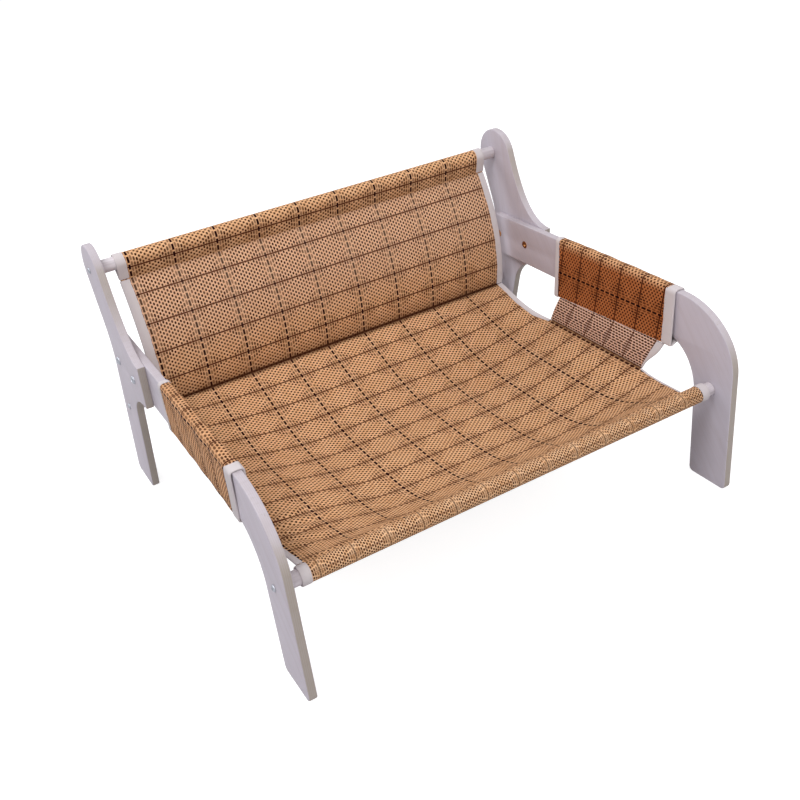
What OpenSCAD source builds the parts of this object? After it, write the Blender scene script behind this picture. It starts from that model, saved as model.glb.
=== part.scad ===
// Sling bed for a cat: a woven cover hung on a bolted frame of boards and dowels.
// X runs across the bed, Y to the back and Z up. The origin is on the floor, under the middle.

/* [Frame] */
// Width over the outer faces of the rear legs
frame_w = 540; // [460:1:700]
// Depth from the front edge of the front legs to the back of the rear feet
frame_d = 483; // [430:1:560]
// Thickness of the boards
board_t = 9; // [8:0.5:14]
// Diameter of the dowels
rod_d = 15; // [12:0.5:18]
// Radius of the rounded foot corners
foot_r = 6; // [3:0.5:10]

/* [Dowel places] */
// Top dowel, behind the middle
top_rod_y = 188; // [180:1:200]
// Top dowel, height of its axis
top_rod_z = 290; // [275:1:330]
// Rear dowel, behind the middle
rear_rod_y = 184; // [176:1:188]
// Rear dowel, height of its axis
rear_rod_z = 119; // [112:1:126]
// Front dowel, behind the front edge of the front legs
front_rod_in = 29.5; // [22:0.5:34]
// Front dowel, height of its axis
front_rod_z = 118; // [112:1:126]

/* [Rear legs] */
// Width of the lower leg
rear_leg_w = 55; // [48:1:62]
// Radius of the rounded head
head_r = 32; // [26:1:38]
// Head centre, in front of the top dowel
head_lead = 6; // [0:1:10]
// Head centre, below the top dowel
head_drop = 2; // [0:1:8]
// Bend of the rear edge, behind the rear bolt
knee_back = 16; // [8:1:20]
// Bend of the rear edge, below the top of the arm
knee_drop = 12; // [4:1:18]
// Length of the curve on each side of the bend
knee_blend = 28; // [15:1:40]
// Lean of the front edge below the head, in degrees
brow_lean = 17; // [10:1:22]
// Reach of the tab in front of the front bolt
tab_reach = 32; // [20:1:40]
// Slant of the front edge of the tab
tab_slant = 8; // [0:1:12]
// Drop of the round notch below the tab
notch_drop = 36; // [24:1:44]

/* [Arms and front legs] */
// Height of the top edge of the arms
arm_top = 213; // [205:1:225]
// Width of the arm board
arm_h = 53; // [46:1:58]
// Width of the front leg
front_leg_w = 53; // [46:1:60]
// Length of the shoulder curve along the arm
shoulder_len = 80; // [65:1:82]
// Length of the shoulder curve down the leg
shoulder_drop = 70; // [50:1:90]
// Length of the arch below the arm
arch_len = 48; // [30:1:60]
// Drop of the arch down the leg
arch_drop = 55; // [30:1:70]
// Radius of the corners at the rear end of the arm
arm_end_r = 8; // [3:1:12]
// Arm board left behind the rear bolt
arm_end_margin = 12; // [9:1:14]

/* [Fasteners] */
// Front arm bolt, behind the middle
front_bolt_y = 112; // [100:1:124]
// Rear arm bolt, behind the middle
rear_bolt_y = 168; // [158:1:172]
// Thread diameter of the bolts
bolt_d = 5; // [4:0.5:6]
// Diameter of the bolt heads
bolt_head_d = 9.5; // [8:0.5:12]
// Height of the bolt heads
bolt_head_h = 2.7; // [2:0.1:3.5]
// Hex key of the bolts, across the corners
bolt_key = 3.6; // [2.5:0.1:4.4]
// Distance from the end of a bolt to the inner face of the arm
bolt_short = 2; // [1:0.5:4]
// Outer diameter of the threaded inserts
insert_d = 8; // [7:0.5:9]
// Distance from an insert to the face between arm and leg
insert_set = 1; // [0.5:0.5:2]
// Shank diameter of the wood screws
screw_d = 3.5; // [3:0.5:4.5]
// Shank length of the wood screws
screw_len = 36; // [25:1:50]
// Diameter of the screw heads
screw_head_d = 7; // [6:0.5:9]
// Height of the screw heads
screw_head_h = 2; // [1.5:0.1:2.8]
// Depth of the drive recess in a head
recess_h = 1.2; // [0.8:0.1:1.4]
// Gap round a fastener in its hole
fit_gap = 0.1; // [0.05:0.05:0.3]

/* [Cover] */
// Thickness of the woven cloth
cloth_t = 1.5; // [1:0.1:2]
// Gap between cloth and wood, and between sewn pieces
cloth_gap = 0.4; // [0.3:0.1:0.6]
// Gap between the arms and the bound edges of the back
edge_gap = 9; // [3:0.5:12]
// Width of the binding tape on the back and on the dowel sleeves
tape_w = 10; // [8:1:16]
// Thickness of the binding tape
tape_t = 0.8; // [0.5:0.1:1.2]
// Forward bow of the back between crease and top seam
back_bow = 14.5; // [0:0.5:20]
// Crease between back and seat, in front of the rear dowel
crease_lead = 29.5; // [22:0.5:36]
// Crease between back and seat, above the rear dowel
crease_rise = 3; // [0:0.5:8]
// Seam below the top dowel, in front of the dowel
top_seam_lead = 4; // [0:0.5:8]
// Seam below the top dowel, under the dowel
top_seam_drop = 18; // [16:0.5:28]

/* [Seat] */
// Sag of the seat below its dowels
seat_sag = 42.5; // [20:0.5:55]
// Share of the seat's half width that lies flat
seat_flat = 0.4; // [0.3:0.05:0.6]
// Height of the fold between seat and wing
fold_z = 109; // [100:1:118]
// Fold, inside the inner face of the arm
fold_in = 12; // [8:1:20]
// Rear end of the fold, behind the middle
fold_rear_y = 45; // [30:1:60]
// Front end of the fold, behind the front mouth of the arm sleeve
fold_front_in = 37; // [20:1:50]
// Depth of the curved rear corners
rear_cut = 5; // [2:1:14]
// Width of the tape that shows on the rear corners
rear_tape_w = 9; // [6:1:16]
// Depth of the right front corner
front_cut_right = 18; // [8:1:26]
// Depth of the left front corner
front_cut_left = 5; // [2:1:26]
// Width of the tape that shows on the front corners
front_tape_w = 7; // [5:1:12]

/* [Arm sleeves] */
// Gap between the shoulder curve and the front mouth of the sleeve
mouth_gap = 3.5; // [0.5:0.5:12]
// Rear mouth of the sleeve, behind the middle
sleeve_rear_y = 45; // [40:1:65]
// Slack of the sleeve outside the arm
sleeve_slack = 0.5; // [0:0.5:4]
// Seam under the arm, inside the inner face of the arm
seam_in = 5; // [3:0.5:8]
// Seam under the arm, below the arm
seam_drop = 14; // [12:1:26]
// Width of the front mouth bands
band_w = 15; // [10:1:20]
// Width of the rear mouth bands
rear_band_w = 10; // [8:1:16]

/* [Hidden] */
$fn = 48;

wood = [0.86, 0.82, 0.80];
dowel_wood = [0.92, 0.90, 0.88];
steel = [0.62, 0.63, 0.66];
brass = [0.55, 0.38, 0.24];
weave = [0.68, 0.49, 0.34];
cream = [0.90, 0.87, 0.84];

// Faces of the boards on the right side
leg_out = frame_w / 2;
leg_in = leg_out - board_t;
arm_out = leg_in;
arm_in = arm_out - board_t;

// Arm and front leg
arm_bottom = arm_top - arm_h;
arm_mid = arm_top - arm_h / 2;
arm_end = rear_bolt_y + arm_end_margin;
front_y = -frame_d / 2;
front_leg_rear = front_y + front_leg_w;
front_rod_y = front_y + front_rod_in;
function arch_at(y) =
    let (s = max(0, min(1, (front_leg_rear + arch_len - y) / arch_len)))
    arm_bottom - arch_drop * (1 - sqrt(1 - s * s));

// Rear leg: the lower leg runs from the foot to the bend, the blade from the bend to the head
foot_c = [frame_d / 2 - foot_r, foot_r];
knee = [rear_bolt_y + knee_back, arm_top - knee_drop];
head_c = [top_rod_y - head_lead, top_rod_z - head_drop];
foot_run = foot_c - knee;
low_lean = atan2(foot_run.x, -foot_run.y) + asin(foot_r / norm(foot_run));
low_n = [cos(low_lean), sin(low_lean)];
low_up = [-sin(low_lean), cos(low_lean)];
head_run = head_c - knee;
blade_lean = atan2(head_run.x, head_run.y) + asin(head_r / norm(head_run));
blade_up = [sin(blade_lean), cos(blade_lean)];
low_front = low_n * knee - rear_leg_w;
brow_pull = 45;
tab_pull = 40;
notch_pull = 30;
notch_rise = 24;
curve_steps = 12;

// Sleeves round the dowels, and the bands on their ends
sleeve_r = rod_d / 2 + cloth_gap + cloth_t;
band_r = sleeve_r + fit_gap + tape_t;
cover_w = 2 * (arm_in - edge_gap);
cloth_half = cover_w / 2 - tape_w;

// Front mouth of the arm sleeves, and the front end of the fold below it
mouth_y = front_y + shoulder_len + mouth_gap;
fold_front_y = mouth_y + fold_front_in;

// Crease between back and seat, and the seams that close the loops round the dowels
crease = [rear_rod_y - crease_lead, rear_rod_z + crease_rise];
rear_seam = crease + [2 * cloth_t + cloth_gap, 0];
top_seam = [top_rod_y - top_seam_lead, top_rod_z - top_seam_drop];
seam_r = cloth_t;
seam_band_r = seam_r + fit_gap + tape_t;

// Back: from the crease to the top seam
back_low = crease.y + tape_t + cloth_gap / 2;
back_top = [top_seam.x - cloth_t / 2, top_seam.y - seam_band_r - cloth_gap];
back_steps = 16;

// Seat: from the crease to the front sleeve
seat_rear_y = crease.x + cloth_t;
seat_front_y = front_rod_y + sleeve_r + cloth_gap;
seat_rear_z = crease.y - cloth_gap;
seat_front_z = front_rod_z;
fold_x = arm_in - fold_in;
dip_start = 0.45;
dip_end = 0.62;
dip_power = 2.6;
rise_power = 1.5;
cut_power = 1.15;
edge_in = tape_t + cloth_gap;
seat_columns = 24;
rear_steps = 6;
fold_steps = 7;
front_steps = 7;

// Wing: the arm sleeve's section as it hugs the arm, and the web below its seam
seam = [arm_in - seam_in, arm_bottom - seam_drop];
arm_hug = [
    [arm_in, arm_top],
    seam,
    [arm_out + sleeve_slack, arch_at(mouth_y)],
    [arm_out, arm_top]
];
web_foot = [fold_x, fold_z];
web_rear_top = sleeve_rear_y - rear_band_w - cloth_gap;
web_front_top = mouth_y + band_w + cloth_gap;

// Points on round stretches
function arc(c, r, a0, a1, n = curve_steps) =
    [for (i = [0:n]) let (a = a0 + (a1 - a0) * i / n) c + r * [cos(a), sin(a)]];
function oval(c, rx, ry, a0, a1, n = curve_steps) =
    [for (i = [0:n]) let (a = a0 + (a1 - a0) * i / n) c + [rx * cos(a), ry * sin(a)]];
function bend(p, q, r, n = curve_steps) =
    [for (i = [0:n]) let (t = i / n) (1 - t) * (1 - t) * p + 2 * t * (1 - t) * q + t * t * r];
function curve(p, q, r, s, n = curve_steps) =
    [for (i = [0:n]) let (t = i / n, u = 1 - t) u^3 * p + 3 * u^2 * t * q + 3 * u * t^2 * r + t^3 * s];
function drop(c, r, tip, tip_r) =
    let (run = tip - c, a = atan2(run.y, run.x), b = acos((r - tip_r) / norm(run)))
    concat(arc(c, r, a + b, a + 360 - b, 4 * curve_steps), arc(tip, tip_r, a - b, a + b, 6));
function mix(a, b, t) = a + (b - a) * t;
function ease(t) = let (u = max(0, min(1, t))) u * u * (3 - 2 * u);

// Outline a distance outside a polygon whose points run anticlockwise
function edge_angle(p, q) = atan2(-(q.x - p.x), q.y - p.y);
function turn(a, b) = b < a ? b + 360 : b;
function grown(pts, d) = [
    for (i = [0:len(pts) - 1])
        let (p = pts[(i + len(pts) - 1) % len(pts)], q = pts[i], r = pts[(i + 1) % len(pts)])
        let (a0 = edge_angle(p, q), a1 = turn(a0, edge_angle(q, r)))
        each arc(q, d, a0, a1, 4)
];

// Side outline of a rear leg, as points of Y and Z
function low_front_at(z) = [(low_front - z * low_n.y) / low_n.x, z];
function rear_leg_outline() =
    let (brow_a = 180 - brow_lean)
    let (brow = head_c + head_r * [cos(brow_a), sin(brow_a)])
    let (tab_top = [front_bolt_y - tab_reach, arm_top])
    let (tab_low = [tab_top.x + tab_slant, arm_bottom])
    let (notch_end = low_front_at(arm_bottom - notch_drop))
    let (toe = [low_front_at(foot_r).x + foot_r / low_n.x, foot_r])
    concat(
        arc(foot_c, foot_r, -90, low_lean, 6),
        bend(knee - knee_blend * low_up, knee, knee + knee_blend * blade_up),
        arc(head_c, head_r, -blade_lean, brow_a, 24),
        curve(
            brow,
            brow - brow_pull * [sin(brow_lean), cos(brow_lean)],
            tab_top + [tab_pull, 0],
            tab_top
        ),
        curve(tab_low, tab_low + [notch_pull, 0], notch_end + notch_rise * low_up, notch_end),
        arc(toe, foot_r, 180 + low_lean, 270, 6)
    );

// Side outline of an arm with its front leg, as points of Y and Z
function arm_leg_outline() = concat(
    arc([front_y + foot_r, foot_r], foot_r, 180, 270, 6),
    arc([front_leg_rear - foot_r, foot_r], foot_r, 270, 360, 6),
    oval([front_leg_rear + arch_len, arm_bottom - arch_drop], arch_len, arch_drop, 180, 90),
    arc([arm_end - arm_end_r, arm_bottom + arm_end_r], arm_end_r, 270, 360, 6),
    arc([arm_end - arm_end_r, arm_top - arm_end_r], arm_end_r, 0, 90, 6),
    oval([front_y + shoulder_len, arm_top - shoulder_drop], shoulder_len, shoulder_drop, 90, 180, 18)
);

// Front face of the back at a height, and the strip that it makes with a thickness added all round
function back_y(z) =
    let (u = (z - back_low) / (back_top.y - back_low))
    mix(crease.x, back_top.x, u) - 4 * back_bow * u * (1 - u);
function back_strip(extra) =
    let (heights = [for (i = [0:back_steps]) mix(back_low, back_top.y, i / back_steps)])
    concat(
        [for (z = heights) [back_y(z) + cloth_t + extra, z]],
        [for (i = [back_steps:-1:0]) [back_y(heights[i]) - extra, heights[i]]]
    );

// Seat surface: sag along the middle, height of the sides, and the blend across the width
function seat_run(y) = (seat_rear_y - y) / (seat_rear_y - seat_front_y);
function seat_dip(u) =
    u < dip_start ? sin(90 * u / dip_start) :
    u < dip_end ? 1 :
    1 - pow((u - dip_end) / (1 - dip_end), dip_power);
function seat_middle(y) =
    let (u = max(0, min(1, seat_run(y))))
    mix(seat_rear_z, seat_front_z, u) - seat_sag * seat_dip(u);
function seat_side(y) =
    fold_z
    + (seat_rear_z - fold_z) * ease((y - fold_rear_y) / (seat_rear_y - fold_rear_y))
    + (seat_front_z - fold_z) * ease((fold_front_y - y) / (fold_front_y - seat_front_y));
function seat_rise(x) =
    let (s = min(1, abs(x) / fold_x))
    s < seat_flat ? 0 : pow((s - seat_flat) / (1 - seat_flat), rise_power);
function seat_z(x, y) = mix(seat_middle(y), seat_side(y), seat_rise(x));

// Outer edge of the seat, bound at the corners and folded into the wing between them
function rear_edge(y) =
    let (u = (y - fold_rear_y) / (seat_rear_y - fold_rear_y))
    mix(fold_x, cover_w / 2, u) - rear_cut * sin(180 * u);
function front_edge(y, cut) =
    let (u = (fold_front_y - y) / (fold_front_y - seat_front_y))
    fold_x - cut * pow(max(0, u), cut_power);
function seat_edge(y, cut) =
    y > fold_rear_y ? rear_edge(y) :
    y > fold_front_y ? fold_x :
    front_edge(y, cut);
rear_stations = [for (i = [0:rear_steps]) mix(seat_rear_y, fold_rear_y, i / rear_steps)];
fold_stations = [for (i = [1:fold_steps]) mix(fold_rear_y, fold_front_y, i / fold_steps)];
front_stations = [for (i = [1:front_steps]) mix(fold_front_y, seat_front_y, i / front_steps)];
seat_stations = concat(rear_stations, fold_stations, front_stations);

// Solid between two grids of points with the same rows and columns
module slab(top, under) {
    rows = len(top);
    cols = len(top[0]);
    count = rows * cols;
    points = concat([for (r = top) each r], [for (r = under) each r]);
    rim = concat(
        [for (j = [0:cols - 1]) j],
        [for (i = [1:rows - 1]) i * cols + cols - 1],
        [for (j = [cols - 2:-1:0]) (rows - 1) * cols + j],
        [for (i = [rows - 2:-1:1]) i * cols]
    );
    top_faces = [
        for (i = [0:rows - 2])
            for (j = [0:cols - 2])
                let (a = i * cols + j)
                each [[a, a + 1, a + cols], [a + 1, a + cols + 1, a + cols]]
    ];
    under_faces = [for (f = top_faces) [f[2] + count, f[1] + count, f[0] + count]];
    side_faces = [
        for (k = [0:len(rim) - 1])
            let (a = rim[k], b = rim[(k + 1) % len(rim)])
            each [[b, a, a + count], [b, a + count, b + count]]
    ];
    polyhedron(points, concat(top_faces, under_faces, side_faces));
}

// Tape folded over a cloth edge: one ring of points round the edge point, for a width of tape
function tape_ring(edge, inward, normal, width) =
    let (near = cloth_t / 2 + cloth_gap / 2, far = near + tape_t)
    let (lip = edge + width * inward, nose = edge - cloth_gap / 2 * inward)
    let (tip = nose - tape_t * inward)
    [
        lip + far * normal, tip + far * normal, tip - far * normal, lip - far * normal,
        lip - near * normal, nose - near * normal, nose + near * normal, lip + near * normal
    ];
module tape(rings) {
    size = len(rings[0]);
    last = (len(rings) - 1) * size;
    points = [for (r = rings) each r];
    cap = [[0, 1, 6], [0, 6, 7], [1, 2, 5], [1, 5, 6], [2, 3, 4], [2, 4, 5]];
    walls = [
        for (i = [0:len(rings) - 2])
            for (k = [0:size - 1])
                let (a = i * size + k, b = i * size + (k + 1) % size)
                each [[a, a + size, b], [b, a + size, b + size]]
    ];
    ends = concat(cap, [for (f = cap) [f[2] + last, f[1] + last, f[0] + last]]);
    polyhedron(points, concat(walls, ends));
}

// Placing helpers
module along_x(x0, length) {
    translate([x0, 0, 0]) rotate([90, 0, 90]) linear_extrude(length) children();
}
module along_y(y_rear, length) {
    translate([0, y_rear, 0]) rotate([90, 0, 0]) linear_extrude(length) children();
}
module bar(x0, y, z, d, length) {
    translate([x0, y, z]) rotate([0, 90, 0]) cylinder(d = d, h = length);
}
module left() {
    mirror([1, 0, 0]) children();
}
module both() {
    children();
    left() children();
}

// Frame boards, for the right side
module rear_leg() {
    difference() {
        along_x(leg_in, board_t) polygon(rear_leg_outline());
        bar(leg_in - 1, top_rod_y, top_rod_z, screw_d + 2 * fit_gap, board_t + 2);
        bar(leg_in - 1, rear_rod_y, rear_rod_z, screw_d + 2 * fit_gap, board_t + 2);
        for (y = [front_bolt_y, rear_bolt_y])
            bar(leg_in - 1, y, arm_mid, bolt_d + 2 * fit_gap, board_t + 2);
    }
}
module arm_leg() {
    difference() {
        along_x(arm_in, board_t) polygon(arm_leg_outline());
        bar(arm_in - 1, front_rod_y, front_rod_z, screw_d + 2 * fit_gap, board_t + 2);
        for (y = [front_bolt_y, rear_bolt_y])
            bar(arm_in - 1, y, arm_mid, insert_d + 2 * fit_gap, board_t + 2);
    }
}

// Dowel between two faces, with a pilot hole in each end
module dowel(half, y, z) {
    pilot = screw_len - board_t + 1;
    difference() {
        bar(-half, y, z, rod_d, 2 * half);
        both() bar(half - pilot, y, z, screw_d + 2 * fit_gap, pilot + 1);
    }
}

// Fasteners that point to the middle of the bed, with the head on the face at x
module wood_screw(x, y, z) {
    point = 5;
    translate([x, y, z]) rotate([0, -90, 0]) {
        translate([0, 0, screw_len - point]) cylinder(d1 = screw_d, d2 = screw_d / 5, h = point);
        cylinder(d = screw_d, h = screw_len - point);
        difference() {
            translate([0, 0, -screw_head_h])
                cylinder(d1 = screw_head_d * 0.7, d2 = screw_head_d, h = screw_head_h);
            for (a = [0, 90])
                translate([0, 0, -screw_head_h])
                    rotate(a) cube([screw_head_d * 0.5, screw_head_d * 0.14, 2 * recess_h], center = true);
        }
    }
}
module arm_bolt(y) {
    shank = 2 * board_t - bolt_short;
    translate([leg_out, y, arm_mid]) rotate([0, -90, 0]) {
        cylinder(d = bolt_d, h = shank);
        difference() {
            translate([0, 0, -bolt_head_h])
                cylinder(d1 = bolt_head_d * 0.65, d2 = bolt_head_d, h = bolt_head_h);
            translate([0, 0, -bolt_head_h - 1]) cylinder(d = bolt_key, h = recess_h + 1, $fn = 6);
        }
    }
}
module arm_insert(y) {
    difference() {
        bar(arm_in, y, arm_mid, insert_d, board_t - insert_set);
        bar(arm_in - 1, y, arm_mid, bolt_d + 2 * fit_gap, board_t + 2);
    }
}

// Cloth loop round a dowel, closed by a seam, and a band on each of its ends
module loop_sleeve(rod, seam, half) {
    along_x(-half, 2 * half) difference() {
        polygon(drop(rod, sleeve_r, seam, seam_r));
        polygon(drop(rod, rod_d / 2 + cloth_gap, seam, cloth_gap / 2));
    }
}
module loop_sleeve_band(rod, seam) {
    along_x(cover_w / 2 - tape_w, tape_w) difference() {
        polygon(drop(rod, band_r, seam, seam_band_r));
        polygon(drop(rod, sleeve_r + fit_gap, seam, seam_r + fit_gap));
    }
}

// Cloth tube round the front dowel, and the bands on its two ends
module rod_sleeve(y, z, half) {
    difference() {
        bar(-half, y, z, 2 * sleeve_r, 2 * half);
        bar(-half - 1, y, z, rod_d + 2 * cloth_gap, 2 * half + 2);
    }
}
module rod_sleeve_band(y, z) {
    difference() {
        bar(cover_w / 2 - tape_w, y, z, 2 * band_r, tape_w);
        bar(cover_w / 2 - tape_w - 1, y, z, 2 * (sleeve_r + fit_gap), tape_w + 2);
    }
}

// Arm sleeve with its web, for the right side
module wing() {
    wall = cloth_gap + cloth_t;
    half = cloth_t / 2;
    along_y(sleeve_rear_y, sleeve_rear_y - mouth_y) difference() {
        polygon(grown(arm_hug, wall));
        polygon(grown(arm_hug, cloth_gap));
    }
    intersection() {
        along_y(sleeve_rear_y, sleeve_rear_y - mouth_y) polygon([
            seam + [-half, -cloth_gap - half],
            web_foot + [-half, 0],
            web_foot + [half, 0],
            seam + [half, -cloth_gap - half]
        ]);
        along_x(0, leg_out) polygon([
            [web_rear_top, seam.y],
            [web_front_top, seam.y],
            [fold_front_y, fold_z],
            [fold_rear_y, fold_z]
        ]);
    }
}
module sleeve_band(y_rear, width) {
    inner = cloth_gap + cloth_t + fit_gap;
    along_y(y_rear, width) difference() {
        polygon(grown(arm_hug, inner + tape_t));
        polygon(grown(arm_hug, inner));
    }
}

// Tape on a corner of the seat, for the right side
module seat_corner_tape(stations, width, cut = 0) {
    tape([
        for (y = stations)
            let (x = seat_edge(y, cut) - edge_in)
            let (slope = atan2(seat_z(x, y) - seat_z(x - width, y), width))
            tape_ring(
                [x, y, seat_z(x, y) - cloth_t / 2],
                [-cos(slope), 0, -sin(slope)],
                [-sin(slope), 0, cos(slope)],
                width
            )
    ]);
}

// Nodes
module rear_leg_left() { color(wood) left() rear_leg(); }
module rear_leg_right() { color(wood) rear_leg(); }
module arm_leg_left() { color(wood) left() arm_leg(); }
module arm_leg_right() { color(wood) arm_leg(); }
module top_rod() { color(dowel_wood) dowel(leg_in, top_rod_y, top_rod_z); }
module rear_rod() { color(dowel_wood) dowel(leg_in, rear_rod_y, rear_rod_z); }
module front_rod() { color(dowel_wood) dowel(arm_in, front_rod_y, front_rod_z); }
module top_rod_screws() { color(steel) both() wood_screw(leg_out, top_rod_y, top_rod_z); }
module rear_rod_screws() { color(steel) both() wood_screw(leg_out, rear_rod_y, rear_rod_z); }
module front_rod_screws() { color(steel) both() wood_screw(arm_out, front_rod_y, front_rod_z); }
module arm_bolts_right() {
    color(steel) for (y = [front_bolt_y, rear_bolt_y]) arm_bolt(y);
}
module arm_bolts_left() { left() arm_bolts_right(); }
module arm_inserts_right() {
    color(brass) for (y = [front_bolt_y, rear_bolt_y]) arm_insert(y);
}
module arm_inserts_left() { left() arm_inserts_right(); }
module back_panel() {
    half = cover_w / 2 - edge_in;
    color(weave) along_x(-half, 2 * half) polygon(back_strip(0));
}
module seat_panel() {
    top = [
        for (y = seat_stations)
            let (west = edge_in - seat_edge(y, front_cut_left))
            let (east = seat_edge(y, front_cut_right) - edge_in)
            [for (j = [0:seat_columns]) let (x = mix(west, east, j / seat_columns)) [x, y, seat_z(x, y)]]
    ];
    under = [for (row = top) [for (p = row) p - [0, 0, cloth_t]]];
    color(weave) slab(top, under);
}
module top_sleeve() { color(weave) loop_sleeve([top_rod_y, top_rod_z], top_seam, cover_w / 2); }
module rear_sleeve() { color(weave) loop_sleeve([rear_rod_y, rear_rod_z], rear_seam, cloth_half); }
module front_sleeve() { color(weave) rod_sleeve(front_rod_y, front_rod_z, cover_w / 2); }
module wing_right() { color(weave) wing(); }
module wing_left() { color(weave) left() wing(); }
module back_binding_right() {
    color(cream) difference() {
        along_x(cloth_half, tape_w) polygon(back_strip(cloth_gap / 2 + tape_t));
        along_x(cloth_half - 1, tape_w + 1 - tape_t) polygon(back_strip(cloth_gap / 2));
    }
}
module back_binding_left() { left() back_binding_right(); }
module rear_corner_binding_right() { color(cream) seat_corner_tape(rear_stations, rear_tape_w); }
module rear_corner_binding_left() { left() rear_corner_binding_right(); }
module front_corner_binding(cut) {
    stations = concat([fold_front_y], front_stations);
    color(cream) seat_corner_tape(stations, front_tape_w, cut);
}
module front_corner_binding_right() { front_corner_binding(front_cut_right); }
module front_corner_binding_left() { left() front_corner_binding(front_cut_left); }
module sleeve_front_band_right() { color(cream) sleeve_band(mouth_y + band_w, band_w); }
module sleeve_front_band_left() { left() sleeve_front_band_right(); }
module sleeve_rear_band_right() { color(cream) sleeve_band(sleeve_rear_y, rear_band_w); }
module sleeve_rear_band_left() { left() sleeve_rear_band_right(); }
module top_sleeve_bands() { color(cream) both() loop_sleeve_band([top_rod_y, top_rod_z], top_seam); }
module front_sleeve_bands() { color(cream) both() rod_sleeve_band(front_rod_y, front_rod_z); }

rear_leg_left();
rear_leg_right();
arm_leg_left();
arm_leg_right();
top_rod();
rear_rod();
front_rod();
top_rod_screws();
rear_rod_screws();
front_rod_screws();
arm_bolts_left();
arm_bolts_right();
arm_inserts_left();
arm_inserts_right();
back_panel();
seat_panel();
top_sleeve();
rear_sleeve();
front_sleeve();
wing_left();
wing_right();
back_binding_left();
back_binding_right();
rear_corner_binding_left();
rear_corner_binding_right();
front_corner_binding_left();
front_corner_binding_right();
sleeve_front_band_left();
sleeve_front_band_right();
sleeve_rear_band_left();
sleeve_rear_band_right();
top_sleeve_bands();
front_sleeve_bands();
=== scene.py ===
"""Dresses the sling bed for a cat: sanded boards, dowels, steel and brass fasteners, and a woven cover."""

import math
from types import SimpleNamespace

import bpy
import numpy as np
from mathutils import Matrix, Vector
from mathutils.geometry import tessellate_polygon


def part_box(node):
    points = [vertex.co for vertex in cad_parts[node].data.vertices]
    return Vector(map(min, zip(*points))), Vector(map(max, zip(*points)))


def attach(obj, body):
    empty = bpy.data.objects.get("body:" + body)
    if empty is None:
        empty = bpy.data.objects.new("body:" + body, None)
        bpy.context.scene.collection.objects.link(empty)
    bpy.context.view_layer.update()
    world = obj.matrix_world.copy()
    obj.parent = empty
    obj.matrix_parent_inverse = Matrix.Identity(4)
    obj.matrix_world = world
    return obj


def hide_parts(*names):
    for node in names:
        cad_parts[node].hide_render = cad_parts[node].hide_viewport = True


bl_info = {
    "name": "Sling bed dresser",
    "version": (1, 0, 0),
    "blender": (4, 5, 0),
    "location": "View3D > Sidebar > Sling bed",
    "description": "Builds the boards, fasteners, woven cover and stage of a sling bed for a cat",
    "category": "Object",
}

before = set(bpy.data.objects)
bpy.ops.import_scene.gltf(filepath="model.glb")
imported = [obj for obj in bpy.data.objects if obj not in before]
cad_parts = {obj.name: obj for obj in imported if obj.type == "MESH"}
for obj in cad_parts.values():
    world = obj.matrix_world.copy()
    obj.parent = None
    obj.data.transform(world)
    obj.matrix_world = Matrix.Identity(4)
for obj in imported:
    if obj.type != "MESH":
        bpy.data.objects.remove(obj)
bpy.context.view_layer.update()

MM = 0.001
SIDES = {"left": -1.0, "right": 1.0}
WEAVE_UV, TAPE_UV = "weave", "tape"
RIBS, LONG_STRAWS = 16, 4
PLY = 1.8
SEED = 7


def box_mm(node):
    """Lowest and highest corner of a frame node, in millimetres."""
    low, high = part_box(node)
    return np.array(low) / MM, np.array(high) / MM


def srgb(red, green, blue):
    """A colour of 0 to 255 as linear values."""
    return tuple(
        c / 12.92 if c <= 0.04045 else ((c + 0.055) / 1.055) ** 2.4
        for c in (red / 255, green / 255, blue / 255)
    )


class Dowel:
    """Axis, radius and half length of a dowel of the frame, in millimetres."""

    def __init__(self, node):
        low, high = box_mm(node)
        self.node = node
        self.axis = (low[1:] + high[1:]) / 2
        self.radius = (high[2] - low[2]) / 2
        self.half = high[0]


TOP, REAR, FRONT = Dowel("top_rod"), Dowel("rear_rod"), Dowel("front_rod")
ARM_LOW, ARM_HIGH = box_mm("arm_leg_right")
_, LEG_HIGH = box_mm("rear_leg_right")
BACK_LOW, BACK_HIGH = box_mm("back_panel")
SEAT_LOW, SEAT_HIGH = box_mm("seat_panel")
WING_LOW, WING_HIGH = box_mm("wing_right")
SLEEVE_LOW, SLEEVE_HIGH = box_mm("top_sleeve")
BOLT_LOW, BOLT_HIGH = box_mm("arm_bolts_right")
INSERT_LOW, INSERT_HIGH = box_mm("arm_inserts_right")


def length_prop(name, description, default):
    """A size of the sidebar, given here in millimetres and kept in metres."""
    return bpy.props.FloatProperty(
        name=name, description=description, default=default * MM, min=0.0, precision=5, unit="LENGTH"
    )


def colour_prop(name, description, default):
    """A colour of the sidebar."""
    return bpy.props.FloatVectorProperty(
        name=name, description=description, default=default, subtype="COLOR", size=3, min=0.0, max=1.0
    )


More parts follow.
